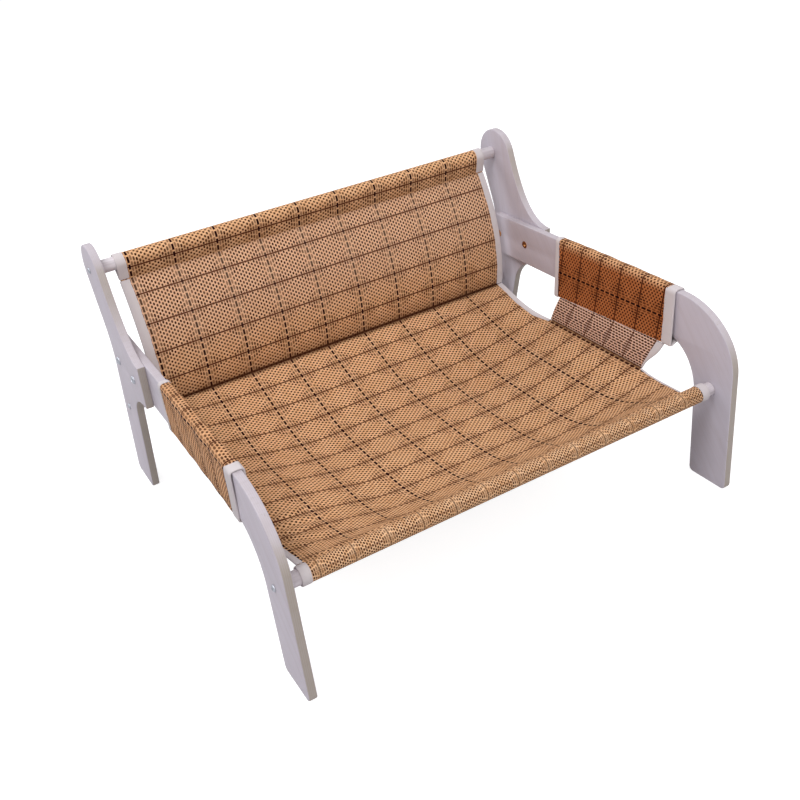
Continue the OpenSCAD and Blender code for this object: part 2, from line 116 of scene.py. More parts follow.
class CoverSizes(bpy.types.PropertyGroup):
    """Sizes of the woven cover."""

    cloth_t: length_prop("Cloth thickness", "Thickness of the woven cloth", 1.1)
    tape_t: length_prop("Tape thickness", "Thickness of the binding tape", 0.5)
    tape_w: length_prop("Tape width", "Width of the tape on the back and the dowel sleeves", 10.0)
    rear_tape_w: length_prop("Rear corner tape", "Width of the tape on the rear corners of the seat", 6.0)
    front_tape_w: length_prop("Front corner tape", "Width of the tape on the front corners of the seat", 6.5)
    front_ring_w: length_prop("Front ring", "Width of the tape on the ends of the front sleeve", 9.0)
    front_band_w: length_prop("Front band", "Width of the band on the front mouth of an arm sleeve", 13.0)
    rear_band_w: length_prop("Rear band", "Width of the band on the rear mouth of an arm sleeve", 6.0)
    back_bow: length_prop("Back bow", "Forward bow of the back", 14.5)
    top_seam_lead: length_prop("Top seam lead", "Top seam in front of the top dowel", 4.0)
    seat_sag: length_prop("Seat sag", "Sag of the seat below its dowels", 42.5)
    cell_w: length_prop("Cell width", "Distance between the dark lines that run front to back", 51.7)
    cell_h: length_prop("Cell height", "Distance between the dark lines that run across", 34.5)
    stitch: length_prop("Stitch", "Length from one stitch to the next", 3.4)


class Finishes(bpy.types.PropertyGroup):
    """Colours of the bed."""

    board: colour_prop("Board", "Pale sanded board", srgb(187, 179, 189))
    board_streak: colour_prop("Board streak", "Darker streaks of the board's grain", srgb(173, 161, 166))
    # Also painted shade on board edges that face sideways.
    board_edge: colour_prop("Board edge", "Glue lines between the plies", srgb(150, 138, 122))
    dowel: colour_prop("Dowel", "Pale sanded dowel", srgb(212, 204, 208))
    straw: colour_prop("Straw", "Pale straw of the weave", srgb(234, 186, 144))
    straw_deep: colour_prop("Deep straw", "Darker straw of the weave", srgb(206, 153, 108))
    # Painted highlights: random pale straws on the front roll stand for glints of light.
    straw_pale: colour_prop("Pale straw", "Pale straws on the front roll", srgb(255, 230, 198))
    # Also painted as shade: on the sides of round straws, in creases, near the folds and under the top seam.
    gap: colour_prop("Gap", "Dark gaps between the straws", srgb(54, 20, 4))
    line: colour_prop("Line", "Dark dashed lines that run front to back", srgb(30, 4, 8))
    row_line: colour_prop("Cross line", "Brown lines that run across", srgb(70, 26, 12))
    # Painted light: pale threads where light comes through one layer, also used as painted sheen on the
    # upper back.
    sheer_light: colour_prop("Sheer thread", "Pale threads where one layer lets light in", srgb(216, 180, 164))
    # Painted shade: a darker tint where the cloth lies double and no light comes through it.
    double_shade: colour_prop("Deep tone", "Tint of the cloth where it lies double in shade", srgb(190, 130, 78))
    tape: colour_prop("Tape", "Cream binding tape", srgb(204, 196, 198))
    thread: colour_prop("Thread", "Sewing thread", srgb(186, 176, 177))
    steel: colour_prop("Steel", "Plated screws and bolts", srgb(158, 160, 168))
    brass: colour_prop("Brass", "Threaded inserts", srgb(158, 104, 62))
    floor: colour_prop("Floor", "Plain pale floor", srgb(180, 180, 182))


def sizes():
    """The cover's sizes of this scene, in millimetres."""
    group = bpy.context.scene.sling_sizes
    return SimpleNamespace(**{key: getattr(group, key) / MM for key in CoverSizes.__annotations__})


def finishes():
    """The colours of this scene."""
    return bpy.context.scene.sling_finishes


# Shading


class Wire:
    """An output socket in a shader tree. Arithmetic on it adds Math nodes."""

    def __init__(self, shade, socket):
        self.shade = shade
        self.socket = socket

    def out(self, name):
        """Another output of the same node."""
        return Wire(self.shade, self.socket.node.outputs[name])

    def maths(self, operation, *values):
        return self.shade.node("ShaderNodeMath", {"operation": operation}, dict(enumerate(values)))

    def __add__(self, other):
        return self.maths("ADD", self, other)

    def __radd__(self, other):
        return self.maths("ADD", other, self)

    def __sub__(self, other):
        return self.maths("SUBTRACT", self, other)

    def __rsub__(self, other):
        return self.maths("SUBTRACT", other, self)

    def __mul__(self, other):
        return self.maths("MULTIPLY", self, other)

    def __rmul__(self, other):
        return self.maths("MULTIPLY", other, self)

    def __truediv__(self, other):
        return self.maths("DIVIDE", self, other)

    def __rtruediv__(self, other):
        return self.maths("DIVIDE", other, self)

    def __pow__(self, other):
        return self.maths("POWER", self, other)

    def __rpow__(self, other):
        return self.maths("POWER", other, self)

    def __abs__(self):
        return self.maths("ABSOLUTE", self)

    def floor(self):
        return self.maths("FLOOR", self)

    def fract(self):
        return self.maths("FRACT", self)

    def sqrt(self):
        return self.maths("SQRT", self)

    def most(self, other):
        return self.maths("MAXIMUM", self, other)

    def least(self, other):
        return self.maths("MINIMUM", self, other)

    def step(self, low, high):
        """A soft change from 0 at low to 1 at high. It falls where high lies below low."""
        return self.shade.node(
            "ShaderNodeMapRange",
            {"interpolation_type": "SMOOTHSTEP"},
            {"Value": self, "From Min": low, "From Max": high, "To Min": 0.0, "To Max": 1.0},
        )


class Shade:
    """A new material or world, and the nodes of its tree."""

    def __init__(self, name, kind="materials"):
        self.owner = getattr(bpy.data, kind).new(name)
        self.owner.use_nodes = True
        self.tree = self.owner.node_tree
        self.tree.nodes.clear()

    def node(self, kind, settings=None, sockets=None, output=0):
        """Adds a node: settings first, then the values or links of its sockets. Gives one output."""
        made = self.tree.nodes.new(kind)
        for key, value in (settings or {}).items():
            setattr(made, key, value)
        for key, value in (sockets or {}).items():
            target = made.inputs[key]
            if isinstance(value, Wire):
                self.tree.links.new(value.socket, target)
            elif target.type == "RGBA" and len(value) == 3:
                target.default_value = (*value, 1.0)
            else:
                target.default_value = value
        return Wire(self, made.outputs[output]) if made.outputs else made

    def mix(self, factor, first, second, blend="MIX"):
        """A colour between two colours."""
        return self.node(
            "ShaderNodeMix",
            {"data_type": "RGBA", "blend_type": blend},
            {0: factor, 6: first, 7: second},
            output=2,
        )

    def parts(self, vector):
        """The three numbers of a vector."""
        split = self.node("ShaderNodeSeparateXYZ", None, {0: vector})
        return split, split.out("Y"), split.out("Z")

    def join(self, x, y, z):
        return self.node("ShaderNodeCombineXYZ", None, {0: x, 1: y, 2: z})

    def noise(self, vector, scale, detail=2.0, roughness=0.5):
        return self.node(
            "ShaderNodeTexNoise",
            {"noise_dimensions": "3D"},
            {"Vector": vector, "Scale": scale, "Detail": detail, "Roughness": roughness},
        )

    def grain(self, place, density, detail=2.0, roughness=0.5):
        """Noise that is drawn out, with its own density along each axis."""
        drawn = self.node("ShaderNodeVectorMath", {"operation": "MULTIPLY"}, {0: place, 1: density})
        return self.noise(drawn, 1.0, detail, roughness)

    def speckle(self, vector):
        """A random number for each whole place of a vector."""
        return self.node("ShaderNodeTexWhiteNoise", {"noise_dimensions": "3D"}, {"Vector": vector})

    def uv(self, name):
        return self.node("ShaderNodeUVMap", {"uv_map": name})

    def attribute(self, name):
        return self.node("ShaderNodeAttribute", {"attribute_name": name}, None, output="Fac")

    def place(self, output="Object"):
        """Where the surface lies on its piece, or which way it faces."""
        return self.node("ShaderNodeTexCoord", None, None, output=output)

    def bump(self, height, strength, distance):
        sockets = {"Strength": strength, "Distance": distance, "Height": height}
        return self.node("ShaderNodeBump", None, sockets)

    def seen(self):
        """1 for rays that show the background: straight ones, mirrored ones and those through glass."""
        ray = self.node("ShaderNodeLightPath", None, None, output="Is Camera Ray")
        return ray.most(ray.out("Is Glossy Ray")).most(ray.out("Is Transmission Ray"))

    def end(self, surface, kind="Material"):
        """Closes the tree with a surface, and gives the material or the world."""
        self.node("ShaderNodeOutput" + kind, None, {"Surface": surface})
        return self.owner

    def finish(self, sockets):
        """Closes the tree with a Principled surface that has these sockets."""
        return self.end(self.node("ShaderNodeBsdfPrincipled", None, sockets))


# Materials


def weave_material():
    """Straw-look weave: ribs of short straws, dotted lozenges, and a grid of dark lines."""
    size, look = sizes(), finishes()
    s = Shade("straw_weave")
    across, along, _ = s.parts(s.uv(WEAVE_UV))
    across, along = across / MM, along / MM
    sheer_light, plain = s.attribute("sheer_light"), s.attribute("plain")
    rib = across * RIBS / size.cell_w + 0.5
    rib_number = rib.floor()
    rib_x = rib - rib_number - 0.5
    from_line = RIBS / 2 - abs((rib_number / RIBS).fract() * RIBS - RIBS / 2)
    stagger = (rib_number * 0.5 + 0.5).fract() * from_line.step(2.4, 2.6)
    row = along / size.cell_h
    from_middle = abs(row.fract() - 0.5)
    straw = row.fract() * (LONG_STRAWS + from_line.least(3.0)) + stagger
    straw_y = abs(straw.fract() - 0.5)
    lozenge = (1.0 - 2.0 * from_line / RIBS) + from_middle / 0.62
    outside = lozenge.step(0.8, 1.1) * (1.0 - plain)
    chance = s.speckle(s.join(rib_number, straw.floor(), row.floor()))
    slow = s.noise(s.join(across, along, 0.0), 0.03, 3.0, 0.6)
    line_x = abs((across / size.cell_w + 0.5).fract() - 0.5) * size.cell_w
    line_y = abs((along / size.cell_h + 0.5).fract() - 0.5) * size.cell_h
    clear = line_x.step(1.2, 1.6) * line_y.step(0.9, 1.3)
    gap_length = 0.28 + (0.17 * outside).most(0.17 * sheer_light.most(0.6 * plain))
    gap_place = ((rib_x / 0.36) ** 2.0 + (straw_y / gap_length) ** 2.0).sqrt()
    gap = gap_place.step(1.15, 0.85) * (0.88 + 0.12 * chance) * clear.most(sheer_light.most(plain))
    gap = gap * (0.68 + 0.32 * from_line.step(0.5, 3.0)).most(sheer_light)
    colour = s.mix(0.55 * chance + 0.45 * slow, look.straw_deep, look.straw)
    # Painted highlights: random straws of the front roll turn pale.
    colour = s.mix(0.18 * plain * chance, colour, look.straw_pale)
    rib_round = 1.0 - 4.0 * rib_x * rib_x
    # Painted shade on the sides of each round straw.
    colour = s.mix(0.25 - 0.25 * rib_round, colour, look.gap)
    thread = abs(rib_x).step(0.24, 0.38)
    # Painted light through the sheer web, and painted sheen on the upper back, as pale threads.
    colour = s.mix(sheer_light * (0.25 + 0.75 * thread), colour, look.sheer_light)
    colour = s.mix(gap, colour, look.gap)
    row_line = line_y.step(1.05, 0.75) * (1.0 - 0.15 * sheer_light) * (1.0 - 0.5 * plain)
    colour = s.mix(row_line, colour, look.row_line)
    dash = abs((LONG_STRAWS * from_middle + 0.5).fract() - 0.5).step(0.41, 0.36)
    column_line = line_x.step(1.45, 1.15) * dash * (1.0 - 0.8 * sheer_light * sheer_light) * (1.0 - 0.4 * plain)
    colour = s.mix(column_line, colour, look.line)
    # Painted shade of double cloth, strongest on the inner side of the right sleeve.
    colour = s.mix(s.attribute("double_shade"), colour, look.double_shade, "MULTIPLY")
    # Painted shade in creases, near the folds and under the top seam, in the gap colour.
    colour = s.mix(s.attribute("shade"), colour, look.gap)
    height = rib_round * 0.5 - gap * 0.9 + 0.15 * chance - 0.2 * column_line.most(row_line)
    return s.finish(
        {
            "Base Color": colour,
            "Roughness": 0.62 + 0.2 * gap,
            "Specular IOR Level": 0.04,
            "Normal": s.bump(height, 0.5, 0.0007),
        }
    )


def board_material(name, lean):
    """Sanded pale board. lean turns the grain from upright towards the front, in degrees."""
    look = finishes()
    s = Shade(name)
    place = s.place()
    turn = {"Vector": place, "Rotation": (math.radians(lean), 0, 0)}
    turned_place = s.node("ShaderNodeMapping", {"vector_type": "POINT"}, turn)
    fibre = s.grain(turned_place, (60.0, 620.0, 11.0), 3.0, 0.6)
    wander = s.grain(turned_place, (8.0, 26.0, 3.0))
    band = s.grain(turned_place, (20.0, 120.0, 2.4), 2.0, 0.55)
    fleck = s.grain(turned_place, (300.0, 1500.0, 60.0), 1.0).step(0.66, 0.78)
    streak = (0.55 * band + 0.45 * fibre).step(0.42, 0.72)
    colour = s.mix(0.4 * streak + 0.25 * wander, look.board, look.board_streak)
    colour = s.mix(0.35 * fleck, colour, look.board_edge)
    face_x, _, face_z = s.parts(s.place("Normal"))
    side = abs(face_x).step(0.75, 0.35)
    # Painted shade: edges that face sideways get darker than edges that face up.
    sideways_shade = face_z.step(0.75, 0.15)
    layer_x, _, _ = s.parts(place)
    glue = abs((layer_x / (PLY * MM)).fract() - 0.5).step(0.36, 0.46)
    # Edge faces take the edge tone: a little for the end grain, some on the glue lines, and most as painted
    # shade where they face sideways.
    colour = s.mix(side * (0.12 + 0.58 * sideways_shade + 0.2 * glue), colour, look.board_edge)
    height = 0.6 * fibre - 0.5 * fleck - 0.4 * side * glue
    return s.finish(
        {
            "Base Color": colour,
            "Roughness": 0.52 + 0.18 * fibre,
            "Specular IOR Level": 0.35,
            "Normal": s.bump(height, 0.25, 0.0004),
        }
    )


def dowel_material():
    """Sanded pale dowel with its grain along the length."""
    look = finishes()
    s = Shade("dowel_wood")
    place = s.place()
    fibre = s.grain(place, (9.0, 700.0, 700.0), 3.0, 0.6)
    band = s.grain(place, (3.0, 150.0, 150.0))
    streak = (0.5 * fibre + 0.5 * band).step(0.42, 0.72)
    return s.finish(
        {
            "Base Color": s.mix(streak * 0.6, look.dowel, look.board_streak),
            "Roughness": 0.5 + 0.2 * fibre,
            "Specular IOR Level": 0.35,
            "Normal": s.bump(fibre, 0.25, 0.0003),
        }
    )


def tape_material():
    """Cream tape with a fine twill."""
    look = finishes()
    s = Shade("cream_tape")
    along, across, _ = s.parts(s.uv(TAPE_UV))
    yarn = ((along + across) / (1.1 * MM)).fract()
    weft = (along / (0.55 * MM)).fract()
    twill = 1.0 - 4.0 * (yarn - 0.5) * (yarn - 0.5)
    cross = 1.0 - 4.0 * (weft - 0.5) * (weft - 0.5)
    slow = s.noise(s.place(), 90.0, 3.0, 0.6)
    return s.finish(
        {
            "Base Color": s.mix(0.45 - 0.35 * twill + 0.25 * slow, look.tape, look.thread),
            "Roughness": 0.82 - 0.1 * twill,
            "Specular IOR Level": 0.15,
            "Normal": s.bump(0.7 * twill + 0.3 * cross, 0.35, 0.0004),
        }
    )


def thread_material():
    """Sewing thread with a quick change of tone along its twist."""
    look = finishes()
    s = Shade("sewing_thread")
    twist = s.noise(s.place(), 1800.0, 1.0, 0.5)
    return s.finish(
        {
            "Base Color": s.mix(0.6 * twist, look.thread, look.tape),
            "Roughness": 0.7 + 0.1 * twist,
            "Normal": s.bump(twist, 0.3, 0.0002),
        }
    )


def metal_material(name, colour, wear):
    """Plated metal with fine turning marks and dull patches."""
    s = Shade(name)
    dull = s.noise(s.place(), 420.0, 3.0, 0.6)
    marks = s.grain(s.place(), (4000.0, 600.0, 600.0))
    return s.finish(
        {
            "Base Color": s.mix(wear * dull, colour, tuple(0.45 * c for c in colour)),
            "Metallic": 1.0,
            "Roughness": 0.26 + 0.25 * dull,
            "Normal": s.bump(marks, 0.12, 0.0002),
        }
    )


def shared(name, make):
    """A material by name, made the first time that a piece asks for it."""
    return bpy.data.materials.get(name) or make()


# Lines and numbers


def share(value, start, end):
    """How far a value lies on the way from start to end, kept from 0 to 1."""
    return np.clip((value - start) / (end - start), 0.0, 1.0)


def ramp(value, start, end):
    """A soft change from 0 at start to 1 at end."""
    t = share(value, start, end)
    return t * t * (3.0 - 2.0 * t)


def between(first, last, t):
    return first + (last - first) * t


def unit(vectors):
    return vectors / np.maximum(np.linalg.norm(vectors, axis=-1, keepdims=True), 1e-9)


def run_of(points):
    """How far along a line each of its points lies."""
    return np.concatenate([[0.0], np.cumsum(np.linalg.norm(np.diff(points, axis=0), axis=1))])


def resample(points, count):
    """A number of even points on a line of points, and how far along it they lie."""
    run = run_of(points)
    want = np.linspace(0.0, run[-1], count)
    return np.stack([np.interp(want, run, column) for column in np.transpose(points)], -1), want


def spread(points, step):
    """Points at an even step on a line of points, both ends kept, and how far along it they lie."""
    return resample(points, max(2, int(round(run_of(points)[-1] / step)) + 1))


def circle(centre, radius, first, last, count):
    """Points on a round stretch, with its angles in degrees."""
    a = np.radians(np.linspace(first, last, count))
    return np.asarray(centre) + radius * np.stack([np.cos(a), np.sin(a)], -1)


# Surfaces


def piece(name, mesh, material, slot, *nodes):
    """Puts a finished mesh in the scene as a piece of the bed that stands for frame nodes."""
    mesh.materials.clear()
    mesh.materials.append(material)
    made = bpy.data.objects.new(name, mesh)
    bpy.context.scene.collection.objects.link(made)
    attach(made, "root")
    if nodes:
        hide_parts(*nodes)
    return made


def mesh_of(name, points, faces, sharp=50.0):
    """A smooth mesh from points in millimetres, with edges sharper than an angle kept."""
    mesh = bpy.data.meshes.new(name)
    mesh.from_pydata((np.asarray(points) * MM).tolist(), [], faces)
    mesh.validate()
    mesh.shade_smooth()
    mesh.set_sharp_from_angle(angle=math.radians(sharp))
    mesh.update()
    return mesh


def give_value(mesh, name, values):
    """Gives each vertex a number that its material reads."""
    layer = mesh.attributes.new(name, "FLOAT", "POINT")
    layer.data.foreach_set("value", np.asarray(values, dtype=np.float32))


def outward(points, faces):
    """The same faces, turned round if they enclose a negative volume."""
    fans = [(face[0], one, two) for face in faces for one, two in zip(face[1:-1], face[2:])]
    a, b, c = (points[list(corner)] for corner in zip(*fans))
    return faces if (a * np.cross(b, c)).sum() > 0 else [face[::-1] for face in faces]


def bands(rings, around, first=0, closed=False, capped=False):
    """Faces between rings of points that follow each other."""
    faces = []
    for i in range(rings if closed else rings - 1):
        a, b = first + i * around, first + (i + 1) % rings * around
        for k in range(around):
            n = (k + 1) % around
            faces.append((a + k, a + n, b + n, b + k))
    if capped:
        last = first + (rings - 1) * around
        faces += [tuple(range(first, first + around))[::-1], tuple(range(last, last + around))]
    return faces


def turned(profile, sides, axis=(0.0, 0.0)):
    """Points of a form turned about a line along X, from a profile of radius and X."""
    turns = np.linspace(0.0, 2 * math.pi, sides, endpoint=False)
    ring = np.stack([np.cos(turns), np.sin(turns)], -1)
    rings = [np.column_stack([np.full(sides, x), np.asarray(axis) + radius * ring]) for radius, x in profile]
    return np.concatenate(rings)


def flat_faces(points, rims, ahead):
    """Triangles of a flat face across X inside its rims. They look to plus X where ahead is true."""
    numbers = [i for rim in rims for i in rim]
    faces = []
    for tri in tessellate_polygon([[Vector((*points[i][1:], 0.0)) for i in rim] for rim in rims]):
        a, b, c = (points[numbers[i]] for i in tri)
        order = tri if (np.cross(b - a, c - a)[0] > 0) == ahead else tri[::-1]
        faces.append(tuple(numbers[i] for i in order))
    return faces


class Shells:
    """Closed shells that become one mesh, with places on flat cloth."""

    def __init__(self):
        self.points, self.faces, self.flat = [], [], []

    def add(self, points, faces, flat):
        start = sum(len(shell) for shell in self.points)
        self.faces += [tuple(i + start for i in face) for face in outward(points, faces)]
        self.points.append(points)
        self.flat.append(flat)

    def mesh(self, name, uv_name, sharp):
        mesh = mesh_of(name, np.concatenate(self.points), self.faces, sharp)
        layer = mesh.uv_layers.new(name=uv_name)
        corner = np.zeros(len(mesh.loops), dtype=np.int64)
        mesh.loops.foreach_get("vertex_index", corner)
        places = np.concatenate(self.flat)[corner] * MM
        layer.data.foreach_set("uv", places.astype(np.float32).ravel())
        return mesh


# Tones that vertices give the weave: painted shade of double cloth, painted light on sheer cloth, painted
# shade in creases, and the plain weave of the front roll.
TONES = ("double_shade", "sheer_light", "shade", "plain")


class SheetPart:
    """One grid of cloth: its middle surface, its places on the flat cloth and its tones."""

    def __init__(self, grid, flat, **tones):
        self.grid = np.asarray(grid, dtype=float)
        self.flat = np.asarray(flat, dtype=float)
        self.tones = {key: np.broadcast_to(tones.get(key, 0.0), self.grid.shape[:2]) for key in TONES}

    def area(self):
        """Area of the middle surface, in square metres."""
        down, over = np.diff(self.grid, axis=0)[:, :-1], np.diff(self.grid, axis=1)[:-1]
        return float(np.linalg.norm(np.cross(down, over), axis=-1).sum()) * MM * MM

    def shell(self, thickness):
        """Points and faces of the cloth with a thickness."""
        normal = unit(np.cross(np.gradient(self.grid, axis=1), np.gradient(self.grid, axis=0)))
        both_faces = [self.grid + way * normal * thickness / 2 for way in (1, -1)]
        points = np.concatenate(both_faces).reshape(-1, 3)
        rows, columns = self.grid.shape[:2]
        count = rows * columns
        number = np.arange(count).reshape(rows, columns)
        quads = np.stack([number[:-1, :-1], number[:-1, 1:], number[1:, 1:], number[1:, :-1]], -1)
        quads = quads.reshape(-1, 4)
        rim = np.concatenate([number[0], number[1:, -1], number[-1, -2::-1], number[-2:0:-1, 0]])
        after = np.roll(rim, -1)
        walls = np.stack([after, rim, rim + count, after + count], -1)
        skin = np.concatenate([quads, quads[:, ::-1] + count, walls])
        return points, [tuple(face) for face in skin.tolist()]


def sheet_mesh(name, parts):
    """Closed mesh of cloth from one or more grids."""
    shells = Shells()
    for part in parts:
        shells.add(*part.shell(sizes().cloth_t), np.tile(part.flat.reshape(-1, 2), (2, 1)))
    mesh = shells.mesh(name, WEAVE_UV, 50.0)
    for key in TONES:
        give_value(mesh, key, np.concatenate([np.tile(part.tones[key].ravel(), 2) for part in parts]))
    return mesh


TAPE_GAP = 0.1
SEAM_IN, SEAM_LIFT = 1.7, 0.62
LEAST_TAPE, STITCHED_TAPE = 0.8, 3.0
LIP_PINCH, LIP_RISE = (1.6, 0.4), (3.2, 0.75)
TAPE_WAVES = ((0.22, 6.1, 0.0), (0.14, 2.7, 1.0))


def tape_section(top, under, inner, thick):
    """Ring of (inward, normal) places of tape folded over an edge, pinched at its seam near each lip."""
    outer = inner + thick

    def lip(width):
        pinch, rise = (min(most, part * width) for most, part in (LIP_PINCH, LIP_RISE))
        return [(width, inner + 0.5 * thick), (width - pinch, inner + 0.55 * thick), (width - rise, outer)]

    nose = [(-outer * math.sin(a), outer * math.cos(a)) for a in np.linspace(0.0, math.pi, 9)]
    below = [(a, -b) for a, b in reversed(lip(under))]
    inside = [(under, -inner), (0.0, -inner), (0.0, inner), (top, inner)]
    return np.array(lip(top) + nose + below + inside)


class Binding:
    """Strip of tape along an edge path, with directions into the cloth and out of its face."""

    def __init__(self, path, inward, normal, width, under=None, closed=False):
        self.path = np.asarray(path, dtype=float)
        self.inward = unit(np.broadcast_to(inward, self.path.shape).astype(float))
        self.normal = unit(np.broadcast_to(normal, self.path.shape).astype(float))
        self.run = run_of(self.path)
        wave = sum(height * np.sin(self.run / length + start) for height, length, start in TAPE_WAVES)
        self.top = np.maximum(width + wave, LEAST_TAPE)
        self.under = np.maximum((width if under is None else under) + wave, LEAST_TAPE)
        self.closed = closed

    def seam(self):
        """The line of the seam on the tape."""
        height = sizes().cloth_t / 2 + TAPE_GAP + SEAM_LIFT * sizes().tape_t
        line = self.path + (self.top - SEAM_IN)[:, None] * self.inward + height * self.normal
        return np.concatenate([line, line[:1]]) if self.closed else line


def tape_mesh(name, strips):
    """Closed mesh of one or more strips of binding tape."""
    size = sizes()
    inner = size.cloth_t / 2 + TAPE_GAP
    shells = Shells()
    for strip in strips:
        widths = zip(strip.top, strip.under)
        sections = np.stack([tape_section(top, under, inner, size.tape_t) for top, under in widths])
        rings = strip.path[:, None] + sections[..., :1] * strip.inward[:, None]
        rings = rings + sections[..., 1:] * strip.normal[:, None]
        count, around = rings.shape[:2]
        skin = bands(count, around, closed=strip.closed)
        for end in () if strip.closed else (0, count - 1):
            for tri in tessellate_polygon([[Vector((a, b, 0.0)) for a, b in sections[end]]]):
                skin.append(tuple(i + end * around for i in (tri if end == 0 else tri[::-1])))
        flat = np.stack(np.meshgrid(strip.run, run_of(sections[0]), indexing="ij"), -1)
        shells.add(rings.reshape(-1, 3), skin, flat.reshape(-1, 2))
    return shells.mesh(name, TAPE_UV, 60.0)


# Shape of the cover, in millimetres

GRID_STEP = 3.0
CLOTH_GAP = 0.4
SOLID_T = SLEEVE_HIGH[2] - TOP.axis[1] - TOP.radius - CLOTH_GAP
HALF_T = SOLID_T / 2
COVER_HALF = SLEEVE_HIGH[0]
FIRST_COLUMN_X, FIRST_ROW = 29.6, 30.0

BACK_FOOT, BACK_FIRST_RUN = 2.5, -3.1
BACK_TOP = {"left": 10.0, "right": 7.5}
CREASE_Y = SEAT_HIGH[1] - SOLID_T
CREASE_Z = BACK_LOW[2] - 1.0

FOLD_X = WING_LOW[0] + 0.75
FOLD_Z = WING_LOW[2]
FOLD_REAR_Y, FOLD_FRONT_Y = 45.0, -121.0
SEAT_REAR_Y, SEAT_REAR_Z = SEAT_HIGH[1], CREASE_Z - 0.4
SEAT_FRONT_Y, SEAT_FRONT_Z = SEAT_LOW[1], FRONT.axis[1]
SEAT_FLAT, RISE_POWER = 0.4, 1.5
DIP_START, DIP_END, DIP_POWER = 0.45, 0.62, 2.6
REAR_CUT, FRONT_CUT, CUT_POWER = 5.0, {"left": 5.0, "right": 24.0}, 1.15
CORNER_TOP = {"left": 5.0, "right": 1.2}
CORNER_NARROW, CORNER_NARROW_RUN = 0.42, 30.0
PULL_LIFT, PULL_INNER_X, PULL_OUTER_X = 7.0, (-70.0, -160.0), (-240.0, -180.0)
PULL_REAR_Y, PULL_FRONT_Y = (20.0, -90.0), (SEAT_FRONT_Y, SEAT_FRONT_Y + 60.0)
PULL_FROM, PULL_FOLDS = (-262.0, -118.0), 24.0
PULL_NEAR, PULL_FAR = (24.0, 44.0), (130.0, 70.0)
PULL_FIRST_TURN, PULL_LAST_TURN = (-65.0, -40.0), (40.0, 15.0)
FRONT_R = FRONT.radius + CLOTH_GAP + HALF_T
FRONT_WRAP_R, FRONT_WRAP_A = FRONT_R + 0.35, math.radians(45.0)
FRONT_WRAP_TURN, FRONT_WRAP_TUCK = math.radians(50.0), 0.8
SEAT_END_Y = FRONT.axis[0] + FRONT_WRAP_R * math.cos(FRONT_WRAP_A)
FRONT_LIFT, FRONT_LIFT_Y = FRONT_WRAP_R * math.sin(FRONT_WRAP_A) + HALF_T, -166.0
FRONT_END = {"left": 238.0, "right": COVER_HALF}
FRONT_FINE = 1.45

SEAM_X = ARM_LOW[0] - 5.0
SEAM_REAR_Y, SEAM_FRONT_Y = 36.0, -154.0
SEAM_REAR_Z, SEAM_FRONT_Z = 141.3, 150.0
ARM_BOTTOM = BOLT_LOW[2] + BOLT_HIGH[2] - ARM_HIGH[2]
WEB_REAR_Y, WEB_FRONT_Y, WEB_TAPE_W = 34.0, -139.0, 8.0
WEB_GAP, WEB_BOW, WEB_TUCK = 0.4, 1.2, 0.8
WEB_SHADE, WEB_SHADE_RUN = 0.8, 2.5
MOUTH_FRONT_Y = {"left": WING_LOW[1] - 2.0, "right": WING_LOW[1]}
MOUTH_REAR_Y = {"left": 34.0, "right": WING_HIGH[1]}
MOUTH_LEAN, LEAN_Z, LEAN_Y = {"left": 0.16, "right": 0.0}, 187.0, (-70.0, -150.0)
ROLL_ROOM, ROLL_RISE, ROLL_ROUND = (0.9, 1.9), (1.2, 3.2), (4.5, 2.6)
ROLL_TALL, PUFF_POWER = 1.5, 0.7
FRONT_ROOM, FRONT_ROOM_REACH = 1.2, 0.25
CORNER_GAP, CORNER_DROP, CORNER_IN, CORNER_R = 0.2, 4.0, 0.3, 1.1
SEAM_INNER, SEAM_OUTER = (-0.5, 0.0), (0.6, -0.9)
RIPPLE, RIPPLE_Y, RIPPLE_RUN = {"left": 0.55, "right": 0.25}, 5.2, 17.0
RIPPLE_WANDER, RIPPLE_WANDER_Y = 1.4, 23.0
DOUBLE_SHADE, DOUBLE_SHADE_OUTSIDE, DOUBLE_SHADE_RUN = {"left": 0.2, "right": 0.85}, 0.15, (72.0, 58.0)
WING_FIRST_COLUMN = 16.0
WING_LEAN, WEB_LEAN, SLEEVE_LEAN, SLEEVE_LEAN_RUN = 15.5, 0.34, 0.12, 80.0


def tape_reach():
    """How far tape stands beyond the cloth's own edge."""
    return sizes().cloth_t / 2 + TAPE_GAP + sizes().tape_t


def cloth_half():
    """Half width of the cloth below the edge tape."""
    return COVER_HALF - tape_reach()


def back_y(z):
    """Front face of the back at a height."""
    u = (z - BACK_LOW[2]) / (BACK_HIGH[2] - BACK_LOW[2])
    top_y = TOP.axis[0] - sizes().top_seam_lead - HALF_T
    return between(CREASE_Y, top_y, u) - 4.0 * sizes().back_bow * u * (1.0 - u)


def seat_middle(y):
    """Height of the seat along its middle."""
    u = share(y, SEAT_REAR_Y, SEAT_FRONT_Y)
    falling = np.sin(np.minimum(u / DIP_START, 1.0) * math.pi / 2)
    rising = 1.0 - (np.maximum(u - DIP_END, 0.0) / (1.0 - DIP_END)) ** DIP_POWER
    lift = FRONT_LIFT * share(y, FRONT_LIFT_Y, SEAT_END_Y) ** 2
    return between(SEAT_REAR_Z, SEAT_FRONT_Z, u) + lift - sizes().seat_sag * np.minimum(falling, rising)


def seat_side(y):
    """Height of the seat along its sides."""
    rear, front = ramp(y, FOLD_REAR_Y, SEAT_REAR_Y), ramp(y, FOLD_FRONT_Y, SEAT_END_Y)
    return FOLD_Z + (SEAT_REAR_Z - FOLD_Z) * rear + (SEAT_FRONT_Z + FRONT_LIFT - FOLD_Z) * front


